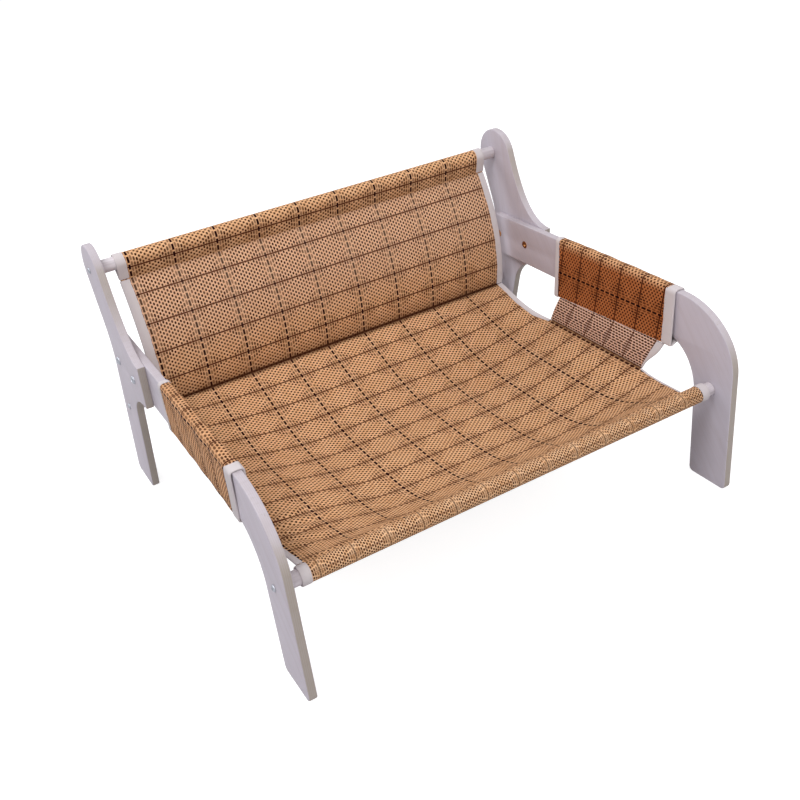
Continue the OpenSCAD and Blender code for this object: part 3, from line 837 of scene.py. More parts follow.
def seat_z(x, y):
    """Top face of the seat."""
    aside = np.minimum(1.0, np.abs(x) / FOLD_X)
    rise = (np.maximum(aside - SEAT_FLAT, 0.0) / (1.0 - SEAT_FLAT)) ** RISE_POWER
    return between(seat_middle(y), seat_side(y), rise)


def seat_edge(y, side):
    """Outer edge of the seat with its tape."""
    rear, front = share(y, FOLD_REAR_Y, SEAT_REAR_Y), share(y, FOLD_FRONT_Y, SEAT_END_Y)
    rear_x = between(FOLD_X, COVER_HALF, rear) - REAR_CUT * np.sin(math.pi * rear)
    return rear_x - FRONT_CUT[side] * front**CUT_POWER


def pulls(x, y):
    """Lift and small folds at the left front, where the sleeve pulls on the seat."""
    lift = PULL_LIFT * ramp(x, *PULL_INNER_X) * ramp(x, *PULL_OUTER_X)
    lift = lift * ramp(y, *PULL_REAR_Y) * ramp(y, *PULL_FRONT_Y)
    dx, dy = x - PULL_FROM[0], y - PULL_FROM[1]
    reach = np.hypot(dx, dy)
    turn = np.degrees(np.arctan2(dy, dx))
    fade = ramp(reach, *PULL_NEAR) * ramp(reach, *PULL_FAR)
    fan = ramp(turn, *PULL_FIRST_TURN) * ramp(turn, *PULL_LAST_TURN)
    return lift + np.cos(np.radians(turn * PULL_FOLDS)) * fade * fan


def loop_line(dowel, seam):
    """Middle line of cloth that leaves a seam, goes over a dowel and comes back, as points of Y and Z."""
    radius = dowel.radius + CLOTH_GAP + HALF_T
    run = np.asarray(seam) - dowel.axis
    toward = math.degrees(math.atan2(run[1], run[0])) % 360.0
    open_a = math.degrees(math.acos((radius - HALF_T) / np.linalg.norm(run)))
    first, last = toward - open_a, toward + open_a
    over = circle(dowel.axis, radius, first, last - 360.0, 40)
    start, end = (circle(seam, HALF_T, angle, angle, 1) for angle in (first, last))
    return np.concatenate([start, over, end])


def top_seam():
    """Seam of the back's loop over the top dowel."""
    return np.array([TOP.axis[0] - sizes().top_seam_lead, SLEEVE_LOW[2] + SOLID_T])


def strip_grid(line, run, west, east, first_run=0.0):
    """Grid of cloth that runs straight across X along a line of Y and Z, and its flat places."""
    across = np.linspace(-west, east, int((west + east) / GRID_STEP) + 1)
    grid = np.stack(np.broadcast_arrays(across, line[:, :1], line[:, 1:]), -1)
    flat = np.broadcast_arrays(across - FIRST_COLUMN_X, (run + first_run)[:, None] - FIRST_ROW)
    return grid, np.stack(flat, -1)


def seam_z(y):
    """Height of the seam between web and arm sleeve."""
    return between(SEAM_REAR_Z, SEAM_FRONT_Z, share(y, SEAM_REAR_Y, SEAM_FRONT_Y))


def arm_loop(side, y, count):
    """Middle line of an arm sleeve at y, drawn on the right: X and Z from the seam up the inner side."""
    reach = (y - MOUTH_FRONT_Y[side]) / (MOUTH_REAR_Y[side] - MOUTH_FRONT_Y[side])
    puff = math.sin(math.pi * min(max(reach, 0.0), 1.0)) ** PUFF_POWER
    room, rise, blunt = (between(a, b, puff) for a, b in (ROLL_ROOM, ROLL_RISE, ROLL_ROUND))
    room += FRONT_ROOM * ramp(reach, FRONT_ROOM_REACH, 0.0)
    low_z = seam_z(y)
    corner_z = ARM_BOTTOM - CORNER_GAP - CORNER_DROP * share(y, SEAM_REAR_Y, SEAM_FRONT_Y) ** 3
    half = (ARM_HIGH[0] - ARM_LOW[0]) / 2 + room
    high = half + ROLL_TALL
    roll = circle((0.0, 0.0), 1.0, 180.0, 0.0, 40)
    roll = np.sign(roll) * np.abs(roll) ** (2.0 / blunt) * (half, high)
    roll = roll + ((ARM_LOW[0] + ARM_HIGH[0]) / 2, ARM_HIGH[2] + rise - high)
    corner = circle((ARM_HIGH[0] - CORNER_IN, corner_z), CORNER_R, 0.0, -60.0, 6)
    start, end = ([(SEAM_X + dx, low_z + dz)] for dx, dz in (SEAM_INNER, SEAM_OUTER))
    return resample(np.concatenate([start, roll, corner, end]), count)[0]


def lean_mouth(side, places):
    """Leans the front of an arm sleeve, its top forward."""
    places[..., 1] -= MOUTH_LEAN[side] * (places[..., 2] - LEAN_Z) * ramp(places[..., 1], *LEAN_Y)
    return places


def wing_flat(run, y, web_len):
    """Places of a wing on the flat cloth, whose rows lean a little."""
    lean = WING_LEAN - WEB_LEAN * np.minimum(run, web_len)
    lean = lean - SLEEVE_LEAN * np.clip(run - web_len, 0.0, SLEEVE_LEAN_RUN)
    return np.stack([run - WING_FIRST_COLUMN, y - lean], -1)


def web_x(up):
    """Where a web stands, from the fold of the seat up to the seam."""
    return between(FOLD_X, SEAM_X - WEB_GAP, up) - WEB_BOW * np.sin(math.pi * up)


def wing_parts(side):
    """Web and arm sleeve of one side."""
    sign = SIDES[side]
    up = np.linspace(0.0, 1.0, 14)[:, None]
    rear, front = between(FOLD_REAR_Y, WEB_REAR_Y, up), between(FOLD_FRONT_Y, WEB_FRONT_Y, up)
    y = between(rear, front, np.linspace(0.0, 1.0, 60))
    top_z = seam_z(y) - WEB_TUCK
    grid = np.stack([sign * np.broadcast_to(web_x(up), y.shape), y, between(FOLD_Z, top_z, up)], -1)
    run = np.hypot(SEAM_X - FOLD_X, top_z - FOLD_Z) * up
    web_len = run[-1].mean()
    shade = WEB_SHADE * ramp(run, WEB_SHADE_RUN, 0.0)
    # The web is drawn fully with painted light coming through its single layer.
    web = SheetPart(grid, wing_flat(run, y, web_len), sheer_light=1.0, shade=shade)
    y = np.linspace(MOUTH_REAR_Y[side] - tape_reach(), MOUTH_FRONT_Y[side] + tape_reach(), 70)
    loop = np.stack([arm_loop(side, station, 110) for station in y], 1)
    middle = loop[:, loop.shape[1] // 2]
    loop_run = np.linspace(0.0, run_of(middle)[-1], len(loop))
    run, y = np.broadcast_arrays(loop_run[:, None], y)
    slack = np.sin(math.pi * run / loop_run[-1]) * np.sin(math.pi * np.linspace(0.0, 1.0, y.shape[1]))
    wander = RIPPLE_WANDER * np.sin(y / RIPPLE_WANDER_Y)
    ripple = RIPPLE[side] * slack * np.sin(y / RIPPLE_Y + run / RIPPLE_RUN + wander)
    normal = unit(np.gradient(loop, axis=0))[..., ::-1] * (-1.0, 1.0)
    loop = loop + normal * ripple[..., None]
    grid = lean_mouth(side, np.stack([sign * loop[..., 0], y, loop[..., 1]], -1))
    # Painted shade of the double cloth, deepest on the inner side of the sleeve.
    double_shade = between(DOUBLE_SHADE_OUTSIDE, DOUBLE_SHADE[side], ramp(loop_run, *DOUBLE_SHADE_RUN))
    return [web, SheetPart(grid, wing_flat(run + web_len, y, web_len), double_shade=double_shade[:, None])]


# Tape on the edges of the cover


def sleeve_band(side, y, inward_y, width):
    """Tape round a mouth of an arm sleeve."""
    loop = arm_loop(side, y, 90)[:-1]
    turn = np.roll(loop, -1, axis=0) - np.roll(loop, 1, axis=0)
    normal = np.stack([-SIDES[side] * turn[:, 1], np.zeros(len(loop)), turn[:, 0]], -1)
    path = np.stack([SIDES[side] * loop[:, 0], np.full(len(loop), y), loop[:, 1]], -1)
    return Binding(lean_mouth(side, path), (0.0, inward_y, 0.0), normal, width, closed=True)


def web_tape(side):
    """Tape on the front edge of a web, widest below the sleeve's band."""
    sign = SIDES[side]
    top_z = seam_z(WEB_FRONT_Y) - 1.5
    z = np.linspace(top_z, FOLD_Z + 2.0, 26)
    up = (z - FOLD_Z) / (top_z - FOLD_Z)
    width = 1.0 + WEB_TAPE_W * ramp(1.5 * up, 0.2, 1.2)
    path = np.stack([sign * web_x(up), between(FOLD_FRONT_Y, WEB_FRONT_Y, up) - width + 1.5, z], -1)
    return Binding(path, (0.0, 1.0, 0.0), (-sign, 0.0, 0.17), width)


def corner_tape(side, y, top, under):
    """Tape on a corner of the seat."""
    sign = SIDES[side]
    x = seat_edge(y, side) - tape_reach()
    path, lip = (
        np.stack([sign * place, y, seat_z(place, y) + pulls(sign * place, y) - HALF_T], -1)
        for place in (x, x - under)
    )
    inward = unit(lip - path)
    normal = unit(np.cross(np.gradient(path, axis=0), inward))
    return Binding(path, inward, normal * np.sign(normal[:, 2:]), top, under)


def ring_tapes(line, width, ends):
    """Tape round both ends of a sleeve whose middle line is a closed round of Y and Z."""
    line, _ = spread(line, 2.0)
    turn = np.roll(line, -1, axis=0) - np.roll(line, 1, axis=0)
    normal = np.column_stack([np.zeros(len(line)), turn[:, 1], -turn[:, 0]])
    normal *= np.sign(((line - line.mean(axis=0)) * normal[:, 1:]).sum())
    return [
        Binding(
            np.column_stack([np.full(len(line), sign * (ends[side] - tape_reach())), line]),
            (-sign, 0.0, 0.0),
            normal,
            width,
            closed=True,
        )
        for side, sign in SIDES.items()
    ]


def back_tape(side):
    """Tape on one edge of the back."""
    sign = SIDES[side]
    z = np.linspace(BACK_LOW[2] + 0.4, BACK_HIGH[2] - 0.2, 50)
    path = np.stack([np.full(len(z), sign * cloth_half()), back_y(z) + HALF_T, z], -1)
    normal = np.cross(np.gradient(path, axis=0), (sign, 0.0, 0.0))
    normal *= -np.sign(normal[:, 1:2])
    return Binding(path, (-sign, 0.0, 0.0), normal, BACK_TOP[side], sizes().tape_w)


def back_bindings():
    made = [(f"back_tape_{side}", f"back_binding_{side}", [back_tape(side)]) for side in SIDES]
    rings = ring_tapes(loop_line(TOP, top_seam()), sizes().tape_w, dict.fromkeys(SIDES, COVER_HALF))
    return made + [("top_sleeve_tapes", "top_sleeve_bands", rings)]


def seat_bindings():
    size = sizes()
    rear = np.linspace(SEAT_REAR_Y - 1.0, FOLD_REAR_Y, 40)
    front = np.linspace(FOLD_FRONT_Y, SEAT_END_Y + 1.0, 34)
    narrow = 1.0 - CORNER_NARROW * ramp(rear, FOLD_REAR_Y + CORNER_NARROW_RUN, FOLD_REAR_Y)
    made = []
    for side in SIDES:
        tapes = {
            "rear": corner_tape(side, rear, size.rear_tape_w * narrow, size.rear_tape_w),
            "front": corner_tape(side, front, CORNER_TOP[side], size.front_tape_w),
        }
        for end, tape in tapes.items():
            made.append((f"{end}_corner_tape_{side}", f"{end}_corner_binding_{side}", [tape]))
    return made


def front_bindings():
    rings = ring_tapes(circle(FRONT.axis, FRONT_R, 0.0, 352.0, 60), sizes().front_ring_w, FRONT_END)
    return [("front_sleeve_tapes", "front_sleeve_bands", rings)]


def wing_bindings(side):
    front_y, rear_y = MOUTH_FRONT_Y[side] + tape_reach(), MOUTH_REAR_Y[side] - tape_reach()
    front = [sleeve_band(side, front_y, 1.0, sizes().front_band_w), web_tape(side)]
    rear = [sleeve_band(side, rear_y, -1.0, sizes().rear_band_w)]
    return [
        (f"front_band_{side}", f"sleeve_front_band_{side}", front),
        (f"rear_band_{side}", f"sleeve_rear_band_{side}", rear),
    ]


def woven(name, parts, nodes, place="", bindings=(), **cut):
    """A piece of woven cloth with its tape and stitches."""
    weave = shared("straw_weave", weave_material)
    cloth = piece(name, sheet_mesh(name, parts), weave, "woven_cloth", *nodes)
    trim, seams = [], []
    for tape_name, node, strips in bindings:
        tape = shared("cream_tape", tape_material)
        trim.append(piece(tape_name, tape_mesh(tape_name, strips), tape, "binding_tape", node))
        seams += [strip.seam() for strip in strips if strip.top.min() > STITCHED_TAPE]
    if seams:
        thread = shared("sewing_thread", thread_material)
        stitches = stitch_mesh(place + "_stitches", seams, thread)
        trim.append(piece(place + "_stitches", stitches, thread, "binding_tape"))


# Boards


def outline_loops(node, x):
    """Outline of a board's flat face at x and of its holes, as closed lines of Y and Z in millimetres."""
    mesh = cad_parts[node].data
    places = np.array([v.co for v in mesh.vertices]) / MM
    keys = [tuple(np.round(p, 3)) for p in places]
    edges = {}
    for polygon in mesh.polygons:
        corner = [keys[i] for i in polygon.vertices]
        if all(abs(c[0] - x) < 0.01 for c in corner):
            for one, two in zip(corner, corner[1:] + corner[:1]):
                edges.setdefault(frozenset((one, two)), []).append((one, two))
    after = {pair[0][0]: pair[0][1] for pair in edges.values() if len(pair) == 1}
    loops = []
    while after:
        first, here = after.popitem()
        loop = [first]
        while here != first:
            loop.append(here)
            here = after.pop(here)
        loops.append(np.array([p[1:] for p in loop]))
    return sorted(loops, key=lambda line: -np.ptp(line[:, 0]))


def inset_line(line, distance):
    """A closed line moved to its left, with its corners kept."""
    before = unit(line - np.roll(line, 1, axis=0))
    after = unit(np.roll(line, -1, axis=0) - line)
    normal_b, normal_a = (np.stack([-way[:, 1], way[:, 0]], -1) for way in (before, after))
    both = unit(normal_b + normal_a)
    stretch = np.maximum((both * normal_a).sum(-1, keepdims=True), 0.5)
    return line + both * distance / stretch


def board_mesh(name, node, edge_round, hole_round):
    """A board with rounded edges, from its outline in the frame."""
    low, high = box_mm(node)
    steps = np.radians(np.linspace(0.0, 90.0, 5))
    points, faces, rims = [], [], {False: [], True: []}
    for i, line in enumerate(outline_loops(node, high[0])):
        turn = np.roll(line, -1, axis=0)
        area = (line[:, 0] * turn[:, 1] - turn[:, 0] * line[:, 1]).sum()
        line = line if (area > 0) == (i == 0) else line[::-1]
        radius = edge_round if i == 0 else hole_round
        rings = [(low[0] + radius * (1 - math.sin(a)), radius * (1 - math.cos(a))) for a in steps[::-1]]
        rings += [(high[0] - radius * (1 - math.sin(a)), radius * (1 - math.cos(a))) for a in steps]
        start, count = sum(len(ring) for ring in points), len(line)
        points += [np.column_stack([np.full(count, x), inset_line(line, inset)]) for x, inset in rings]
        faces += bands(len(rings), count, start)
        last = start + (len(rings) - 1) * count
        rims[False].append(range(start, start + count))
        rims[True].append(range(last, last + count))
    points = np.concatenate(points)
    for ahead, lines in rims.items():
        faces += flat_faces(points, lines, ahead)
    return mesh_of(name, points, outward(points, faces), 35.0)


# Fasteners


TIP_R, TIP_TAPER, RECESS_TAPER = 0.05, 2.5, 0.8


def turned_head(profile, recess, depth, shank_r, shank_l, sides=32):
    """Screw or bolt along X: a turned head with a drive recess, and a plain shank that runs to minus X."""
    shank = [(TIP_R, -shank_l), (shank_r, TIP_TAPER * shank_r - shank_l), (shank_r, 0.0)]
    solid = turned([*shank, *profile], sides)
    top_x, recess = profile[-1][1], np.asarray(recess)
    rim, count = len(solid), len(recess)
    bed = rim + count
    levels = ((top_x, 1.0), (top_x - depth, RECESS_TAPER))
    drive = [np.column_stack([np.full(count, x), recess * scale]) for x, scale in levels]
    points = np.concatenate([solid, *drive])
    faces = bands(len(shank) + len(profile), sides)
    faces.append(tuple(range(sides))[::-1])
    faces += flat_faces(points, [range(rim - sides, rim), range(rim, bed)], True)
    faces += bands(2, count, rim)
    faces.append(tuple(range(bed, bed + count)))
    return points, outward(points, faces)


def cross_recess(arm, half):
    """Outline of a cross drive."""
    corner = [(arm, -half), (arm, half), (half, half)]
    turns = ((1, 0), (0, 1), (-1, 0), (0, -1))
    return [(a * c - b * s, a * s + b * c) for c, s in turns for a, b in corner]


def hex_recess(radius):
    """Outline of a hex drive."""
    return circle((0.0, 0.0), radius, 0.0, 300.0, 6)


def insert_shape(outer, bore, length, sides=32):
    """Threaded insert along X: a ring with a thin flange and turns of thread in its bore."""
    flange, groove = 0.35, 0.35
    profile = [(outer + 0.6, -flange), (outer + 0.75, 0.0), (outer, 0.02)]
    profile += [(outer, length - 0.4), (outer - 0.4, length)]
    turns = np.linspace(length, -flange, 17)
    profile += [(bore + (groove if i % 2 else 0.0), x) for i, x in enumerate(turns)]
    points = turned(profile, sides)
    return points, outward(points, bands(len(profile), sides, closed=True))


def stitch_shape(length, width, sides=6):
    """One stitch: a short rounded bead along X with few faces."""
    bead = ((-0.5, 0.25), (-0.3, 0.85), (0.3, 0.85), (0.5, 0.25))
    profile = [(r * width / 2, x * length) for x, r in bead]
    points = turned(profile, sides) * (1.0, 1.0, 0.7)
    return points, outward(points, bands(len(profile), sides, capped=True))


# Repeated shapes


class Repeat:
    """A node tree that repeats a shape, with named inputs, built node by node."""

    def __init__(self, name, shape, sharp, **inputs):
        self.name = name
        self.tree = bpy.data.node_groups.new(name + "_repeat", "GeometryNodeTree")
        for way in ("INPUT", "OUTPUT"):
            self.tree.interface.new_socket("Geometry", in_out=way, socket_type="NodeSocketGeometry")
        self.source = bpy.data.objects.new(name + "_shape", mesh_of(name + "_shape", *shape, sharp))
        self.values = {}
        for key, (kind, value) in {"Shape": ("Object", self.source), **inputs}.items():
            socket = self.tree.interface.new_socket(key, in_out="INPUT", socket_type="NodeSocket" + kind)
            self.values[socket.identifier] = value
        self.given = self.add("NodeGroupInput").outputs

    def add(self, kind, settings=None, sockets=None):
        """Adds a node: its settings first, then the values or links of its sockets."""
        made = self.tree.nodes.new(kind)
        for key, value in (settings or {}).items():
            setattr(made, key, value)
        for key, value in (sockets or {}).items():
            if isinstance(value, bpy.types.NodeSocket):
                self.tree.links.new(value, made.inputs[key])
            else:
                made.inputs[key].default_value = value
        return made

    def grow(self, seed_mesh, points, rotation, material):
        """Puts the shape on each point, makes the copies real and gives them as a plain mesh."""
        shape = self.add("GeometryNodeObjectInfo", None, {"Object": self.given["Shape"]}).outputs["Geometry"]
        sockets = {"Points": points, "Instance": shape, "Rotation": rotation}
        copies = self.add("GeometryNodeInstanceOnPoints", None, sockets).outputs["Instances"]
        real = self.add("GeometryNodeRealizeInstances", None, {"Geometry": copies}).outputs["Geometry"]
        painted = self.add("GeometryNodeSetMaterial", None, {"Geometry": real, "Material": material})
        self.add("NodeGroupOutput", None, {"Geometry": painted.outputs["Geometry"]})
        carrier = bpy.data.objects.new(self.name + "_carrier", seed_mesh)
        bpy.context.scene.collection.objects.link(carrier)
        modifier = carrier.modifiers.new("grow", "NODES")
        modifier.node_group = self.tree
        for identifier, value in self.values.items():
            modifier[identifier] = value
        bpy.context.view_layer.update()
        evaluated = carrier.evaluated_get(bpy.context.evaluated_depsgraph_get())
        mesh = bpy.data.meshes.new_from_object(evaluated)
        mesh.name = self.name
        bpy.data.objects.remove(carrier)
        bpy.data.objects.remove(self.source)
        return mesh


SPIN = 0.7
STITCH_SHARE, STITCH_W = 0.72, 0.75


def fastener_mesh(name, shape, places, material):
    """The same fastener at each place, a point in millimetres and the side that its head faces."""
    seed_mesh = bpy.data.meshes.new(name + "_places")
    seed_mesh.from_pydata([tuple(np.array(p) * MM) for p, _ in places], [], [])
    turn = seed_mesh.attributes.new("turn", "FLOAT_VECTOR", "POINT")
    turns = [(0.0, 0.0, 0.0 if sign > 0 else math.pi) for _, sign in places]
    turn.data.foreach_set("vector", np.ravel(turns))
    tree = Repeat(name, shape, 40.0, Seed=("Int", SEED))
    facing = tree.add("GeometryNodeInputNamedAttribute", {"data_type": "FLOAT_VECTOR"}, {"Name": "turn"})
    chance = {2: -SPIN, 3: SPIN, "Seed": tree.given["Seed"]}
    spin = tree.add("FunctionNodeRandomValue", {"data_type": "FLOAT"}, chance)
    angles = tree.add("ShaderNodeCombineXYZ", None, {"X": spin.outputs[1]})
    face_turn, own_turn = (
        tree.add("FunctionNodeEulerToRotation", None, {"Euler": euler.outputs[0]}).outputs[0]
        for euler in (facing, angles)
    )
    both = tree.add(
        "FunctionNodeRotateRotation",
        {"rotation_space": "LOCAL"},
        {"Rotation": face_turn, "Rotate By": own_turn},
    )
    return tree.grow(seed_mesh, tree.given["Geometry"], both.outputs[0], material)


def stitch_mesh(name, lines, material):
    """Rows of stitches along lines of points in millimetres."""
    points, edges = [], []
    for line in lines:
        start = len(points)
        points += (np.asarray(line) * MM).tolist()
        edges += [(i, i + 1) for i in range(start, len(points) - 1)]
    seed_mesh = bpy.data.meshes.new(name + "_lines")
    seed_mesh.from_pydata(points, edges, [])
    pitch = sizes().stitch
    tree = Repeat(name, stitch_shape(pitch * STITCH_SHARE, STITCH_W), 80.0, Length=("Float", pitch * MM))
    curve = tree.add("GeometryNodeMeshToCurve", None, {"Mesh": tree.given["Geometry"]}).outputs["Curve"]
    sockets = {"Curve": curve, "Length": tree.given["Length"]}
    even = tree.add("GeometryNodeResampleCurve", {"mode": "LENGTH"}, sockets).outputs["Curve"]
    tangent = tree.add("GeometryNodeInputTangent").outputs["Tangent"]
    along = tree.add("FunctionNodeAlignRotationToVector", {"axis": "X"}, {"Vector": tangent})
    return tree.grow(seed_mesh, even, along.outputs["Rotation"], material)


# Steps that build the bed


class SLING_OT_boards(bpy.types.Operator):
    """Builds the rear legs and the arms with their front legs"""

    bl_idname = "sling.boards"
    bl_label = "Boards"
    EDGE_ROUND, HOLE_ROUND = 1.2, 0.5
    LEANS = {"rear_leg": 6.0, "arm_leg": 37.0}

    def execute(self, context):
        for kind, lean in self.LEANS.items():
            material = board_material(kind + "_wood", lean)
            for side in SIDES:
                node = f"{kind}_{side}"
                mesh = board_mesh(node + "_board", node, self.EDGE_ROUND, self.HOLE_ROUND)
                piece(node + "_board", mesh, material, "board_wood", node)
        return {"FINISHED"}


class SLING_OT_dowels(bpy.types.Operator):
    """Builds the three dowels"""

    bl_idname = "sling.dowels"
    bl_label = "Dowels"
    ROUND_STEPS = 40
    BEVEL = 0.6

    def execute(self, context):
        material = dowel_material()
        for dowel in (TOP, REAR, FRONT):
            thin, end = dowel.radius - self.BEVEL, dowel.half - self.BEVEL
            profile = [(thin, -dowel.half), (dowel.radius, -end), (dowel.radius, end), (thin, dowel.half)]
            points = turned(profile, self.ROUND_STEPS, dowel.axis)
            faces = bands(len(profile), self.ROUND_STEPS, capped=True)
            mesh = mesh_of(dowel.node + "_dowel", points, outward(points, faces))
            piece(dowel.node + "_dowel", mesh, material, "dowel_wood", dowel.node)
        return {"FINISHED"}


class SLING_OT_fasteners(bpy.types.Operator):
    """Builds the screws, bolts and threaded inserts"""

    bl_idname = "sling.fasteners"
    bl_label = "Fasteners"
    SCREW_PROFILE = ((3.5, 0.0), (3.5, 0.4), (3.25, 1.1), (2.8, 1.65), (2.35, 2.0))
    SCREW_CROSS, SCREW_DEPTH, SCREW_R, SCREW_L = (1.9, 0.55), 1.7, 1.75, 36.0
    BOLT_PROFILE = ((4.75, 0.0), (4.75, 0.5), (4.4, 1.35), (3.75, 2.2), (2.95, 2.7))
    BOLT_HEX, BOLT_DEPTH, BOLT_R, BOLT_L = 2.3, 2.3, 2.5, 16.0
    INSERT_R, INSERT_BORE = 4.0, 2.5

    def execute(self, context):
        steel = metal_material("plated_steel", tuple(finishes().steel), 0.5)
        brass = metal_material("dull_brass", tuple(finishes().brass), 0.7)
        drive = cross_recess(*self.SCREW_CROSS)
        screw = turned_head(self.SCREW_PROFILE, drive, self.SCREW_DEPTH, self.SCREW_R, self.SCREW_L)
        for dowel, face in ((TOP, LEG_HIGH[0]), (REAR, LEG_HIGH[0]), (FRONT, ARM_HIGH[0])):
            node = dowel.node + "_screws"
            places = [((sign * face, *dowel.axis), sign) for sign in SIDES.values()]
            piece(node + "_set", fastener_mesh(node, screw, places, steel), steel, "steel", node)
        drive = hex_recess(self.BOLT_HEX)
        bolt = turned_head(self.BOLT_PROFILE, drive, self.BOLT_DEPTH, self.BOLT_R, self.BOLT_L)
        insert = insert_shape(self.INSERT_R, self.INSERT_BORE, INSERT_HIGH[0] - INSERT_LOW[0])
        head_r = self.BOLT_PROFILE[0][0]
        bolt_rows = (BOLT_LOW[1] + head_r, BOLT_HIGH[1] - head_r)
        insert_rows = (INSERT_LOW[1] + self.INSERT_R, INSERT_HIGH[1] - self.INSERT_R)
        z = (BOLT_LOW[2] + BOLT_HIGH[2]) / 2
        for side, sign in SIDES.items():
            for kind, shape, x, rows, metal, slot in (
                ("bolts", bolt, LEG_HIGH[0], bolt_rows, steel, "steel"),
                ("inserts", insert, INSERT_LOW[0], insert_rows, brass, "brass"),
            ):
                node = f"arm_{kind}_{side}"
                places = [((sign * x, y, z), sign) for y in rows]
                piece(node + "_set", fastener_mesh(node, shape, places, metal), metal, slot, node)
        return {"FINISHED"}


class SLING_OT_back(bpy.types.Operator):
    """Builds the back with its loop over the top dowel"""

    bl_idname = "sling.back"
    bl_label = "Back"
    FOOT_SHADE, FOOT_RUN = 0.4, (28.0, 0.0)
    CREASE_SHADE, CREASE_RUN = 0.58, (BACK_FOOT + 4.0, BACK_FOOT + 1.5)
    SEAM_SHADE, SEAM_SHADE_H = 0.2, 7.0
    # Painted sheen on the upper back, drawn as pale threads.
    GLOW, GLOW_RUN = 0.4, (25.0, 105.0)

    def execute(self, context):
        seam = top_seam()
        heights = np.linspace(CREASE_Z - BACK_FOOT, BACK_HIGH[2], 80)
        face = np.stack([back_y(heights) + HALF_T, heights], -1)
        line, run = spread(np.concatenate([face, loop_line(TOP, seam)]), GRID_STEP / 2)
        y, z = line.T
        ahead = y < TOP.axis[0]
        foot = self.FOOT_SHADE * ramp(run, *self.FOOT_RUN)
        foot = foot + self.CREASE_SHADE * ramp(run, *self.CREASE_RUN)
        under = np.exp(-(((z - seam[1] - 1.0) / self.SEAM_SHADE_H) ** 2)) * ahead
        shade = foot + self.SEAM_SHADE * under
        # Painted sheen on the upper back, given to the cloth as its sheer tone.
        light = self.GLOW * ramp(run, *self.GLOW_RUN) * (z < seam[1] - 2.0) * ahead
        grid, flat = strip_grid(line, run, cloth_half(), cloth_half(), BACK_FIRST_RUN)
        woven(
            "back_cloth",
            [SheetPart(grid, flat, shade=shade[:, None], sheer_light=light[:, None])],
            ["back_panel", "top_sleeve"],
            "back",
            back_bindings(),
            flat=(2 * cloth_half() * MM, run[-1] * MM),
            held="stretched",
            rests_on=["top_rod"],
        )
        return {"FINISHED"}


class SLING_OT_seat(bpy.types.Operator):
    """Builds the sagging seat, its front sleeve and the tunnel on the rear dowel"""

    bl_idname = "sling.seat"
    bl_label = "Seat"
    RIM_SHADE, RIM_X = 0.7, (FOLD_X - 7.0, FOLD_X - 1.0)
    CREASE_SHADE, CREASE_RUN = 0.95, (4.2, 2.0)
    MOST_SHADE = 0.9

    def execute(self, context):
        self.make_front_sleeve(self.make_seat())
        self.make_tunnel()
        return {"FINISHED"}

    def make_seat(self):
        """Makes the seat and gives the length that its cloth runs."""
        y = np.linspace(SEAT_REAR_Y - 0.5, SEAT_END_Y, 240)
        line, _ = spread(np.stack([y, seat_middle(y) - HALF_T], -1), GRID_STEP)
        y = line[:, 0]
        over = np.linspace(0.0, 1.0, 12)[1:]
        turn = FRONT_WRAP_A + over * FRONT_WRAP_TURN
        radius = FRONT_WRAP_R - FRONT_WRAP_TUCK * over
        wrap = FRONT.axis + radius[:, None] * np.stack([np.cos(turn), np.sin(turn)], -1)
        folded = (y < FOLD_REAR_Y) & (y > FOLD_FRONT_Y)
        west, east = (np.where(folded, FOLD_X, seat_edge(y, side) - tape_reach()) for side in SIDES)
        across = np.linspace(0.0, 1.0, int(2 * FOLD_X / GRID_STEP) + 1)
        x, y = np.broadcast_arrays(-west[:, None] + (west + east)[:, None] * across, y[:, None])
        top = np.stack([x, y, seat_z(x, y) - HALF_T + pulls(x, y)], -1)
        grid = np.concatenate([top, np.stack(np.broadcast_arrays(x[-1], wrap[:, :1], wrap[:, 1:]), -1)])
        run = run_of(np.concatenate([line, wrap]))
        x = grid[..., 0]
        flat = np.stack(np.broadcast_arrays(x - FIRST_COLUMN_X, run[:, None] - FIRST_ROW), -1)
        folded = np.concatenate([folded, np.zeros(len(wrap), dtype=bool)])
        rim = self.RIM_SHADE * ramp(np.abs(x), *self.RIM_X) * folded[:, None]
        crease = self.CREASE_SHADE * ramp(run, *self.CREASE_RUN)[:, None]
        part = SheetPart(grid, flat, shade=np.minimum(rim + crease, self.MOST_SHADE))
        woven(
            "seat_cloth",
            [part],
            ["seat_panel"],
            "seat",
            seat_bindings(),
            flat=(2 * COVER_HALF * MM, run[-1] * MM),
            held="hung",
            rests_on=["front_rod", "rear_rod"],
            area=part.area(),
        )
        return run[-1]

    def make_front_sleeve(self, seat_run):
        tube, run = spread(circle(FRONT.axis, FRONT_R, 8.0, 352.0, 60), GRID_STEP / 2)
        west, east = (FRONT_END[side] - tape_reach() for side in SIDES)
        grid, flat = strip_grid(tube, run, west, east, seat_run)
        woven(
            "front_sleeve_cloth",
            [SheetPart(grid, flat * FRONT_FINE, plain=1.0)],
            ["front_sleeve"],
            "front",
            front_bindings(),
            flat=((west + east) * MM, run[-1] * MM),
            held="stretched",
            rests_on=["front_rod"],
        )

    def make_tunnel(self):
        half = COVER_HALF - sizes().tape_w
        seam = np.array([CREASE_Y + 2 * SOLID_T + CLOTH_GAP, CREASE_Z])
        loop, run = spread(loop_line(REAR, seam), GRID_STEP / 2)
        woven(
            "rear_sleeve_cloth",
            [SheetPart(*strip_grid(loop, run, half, half))],
            ["rear_sleeve"],
            flat=(2 * half * MM, run[-1] * MM),
            held="stretched",
            rests_on=["rear_rod"],
        )


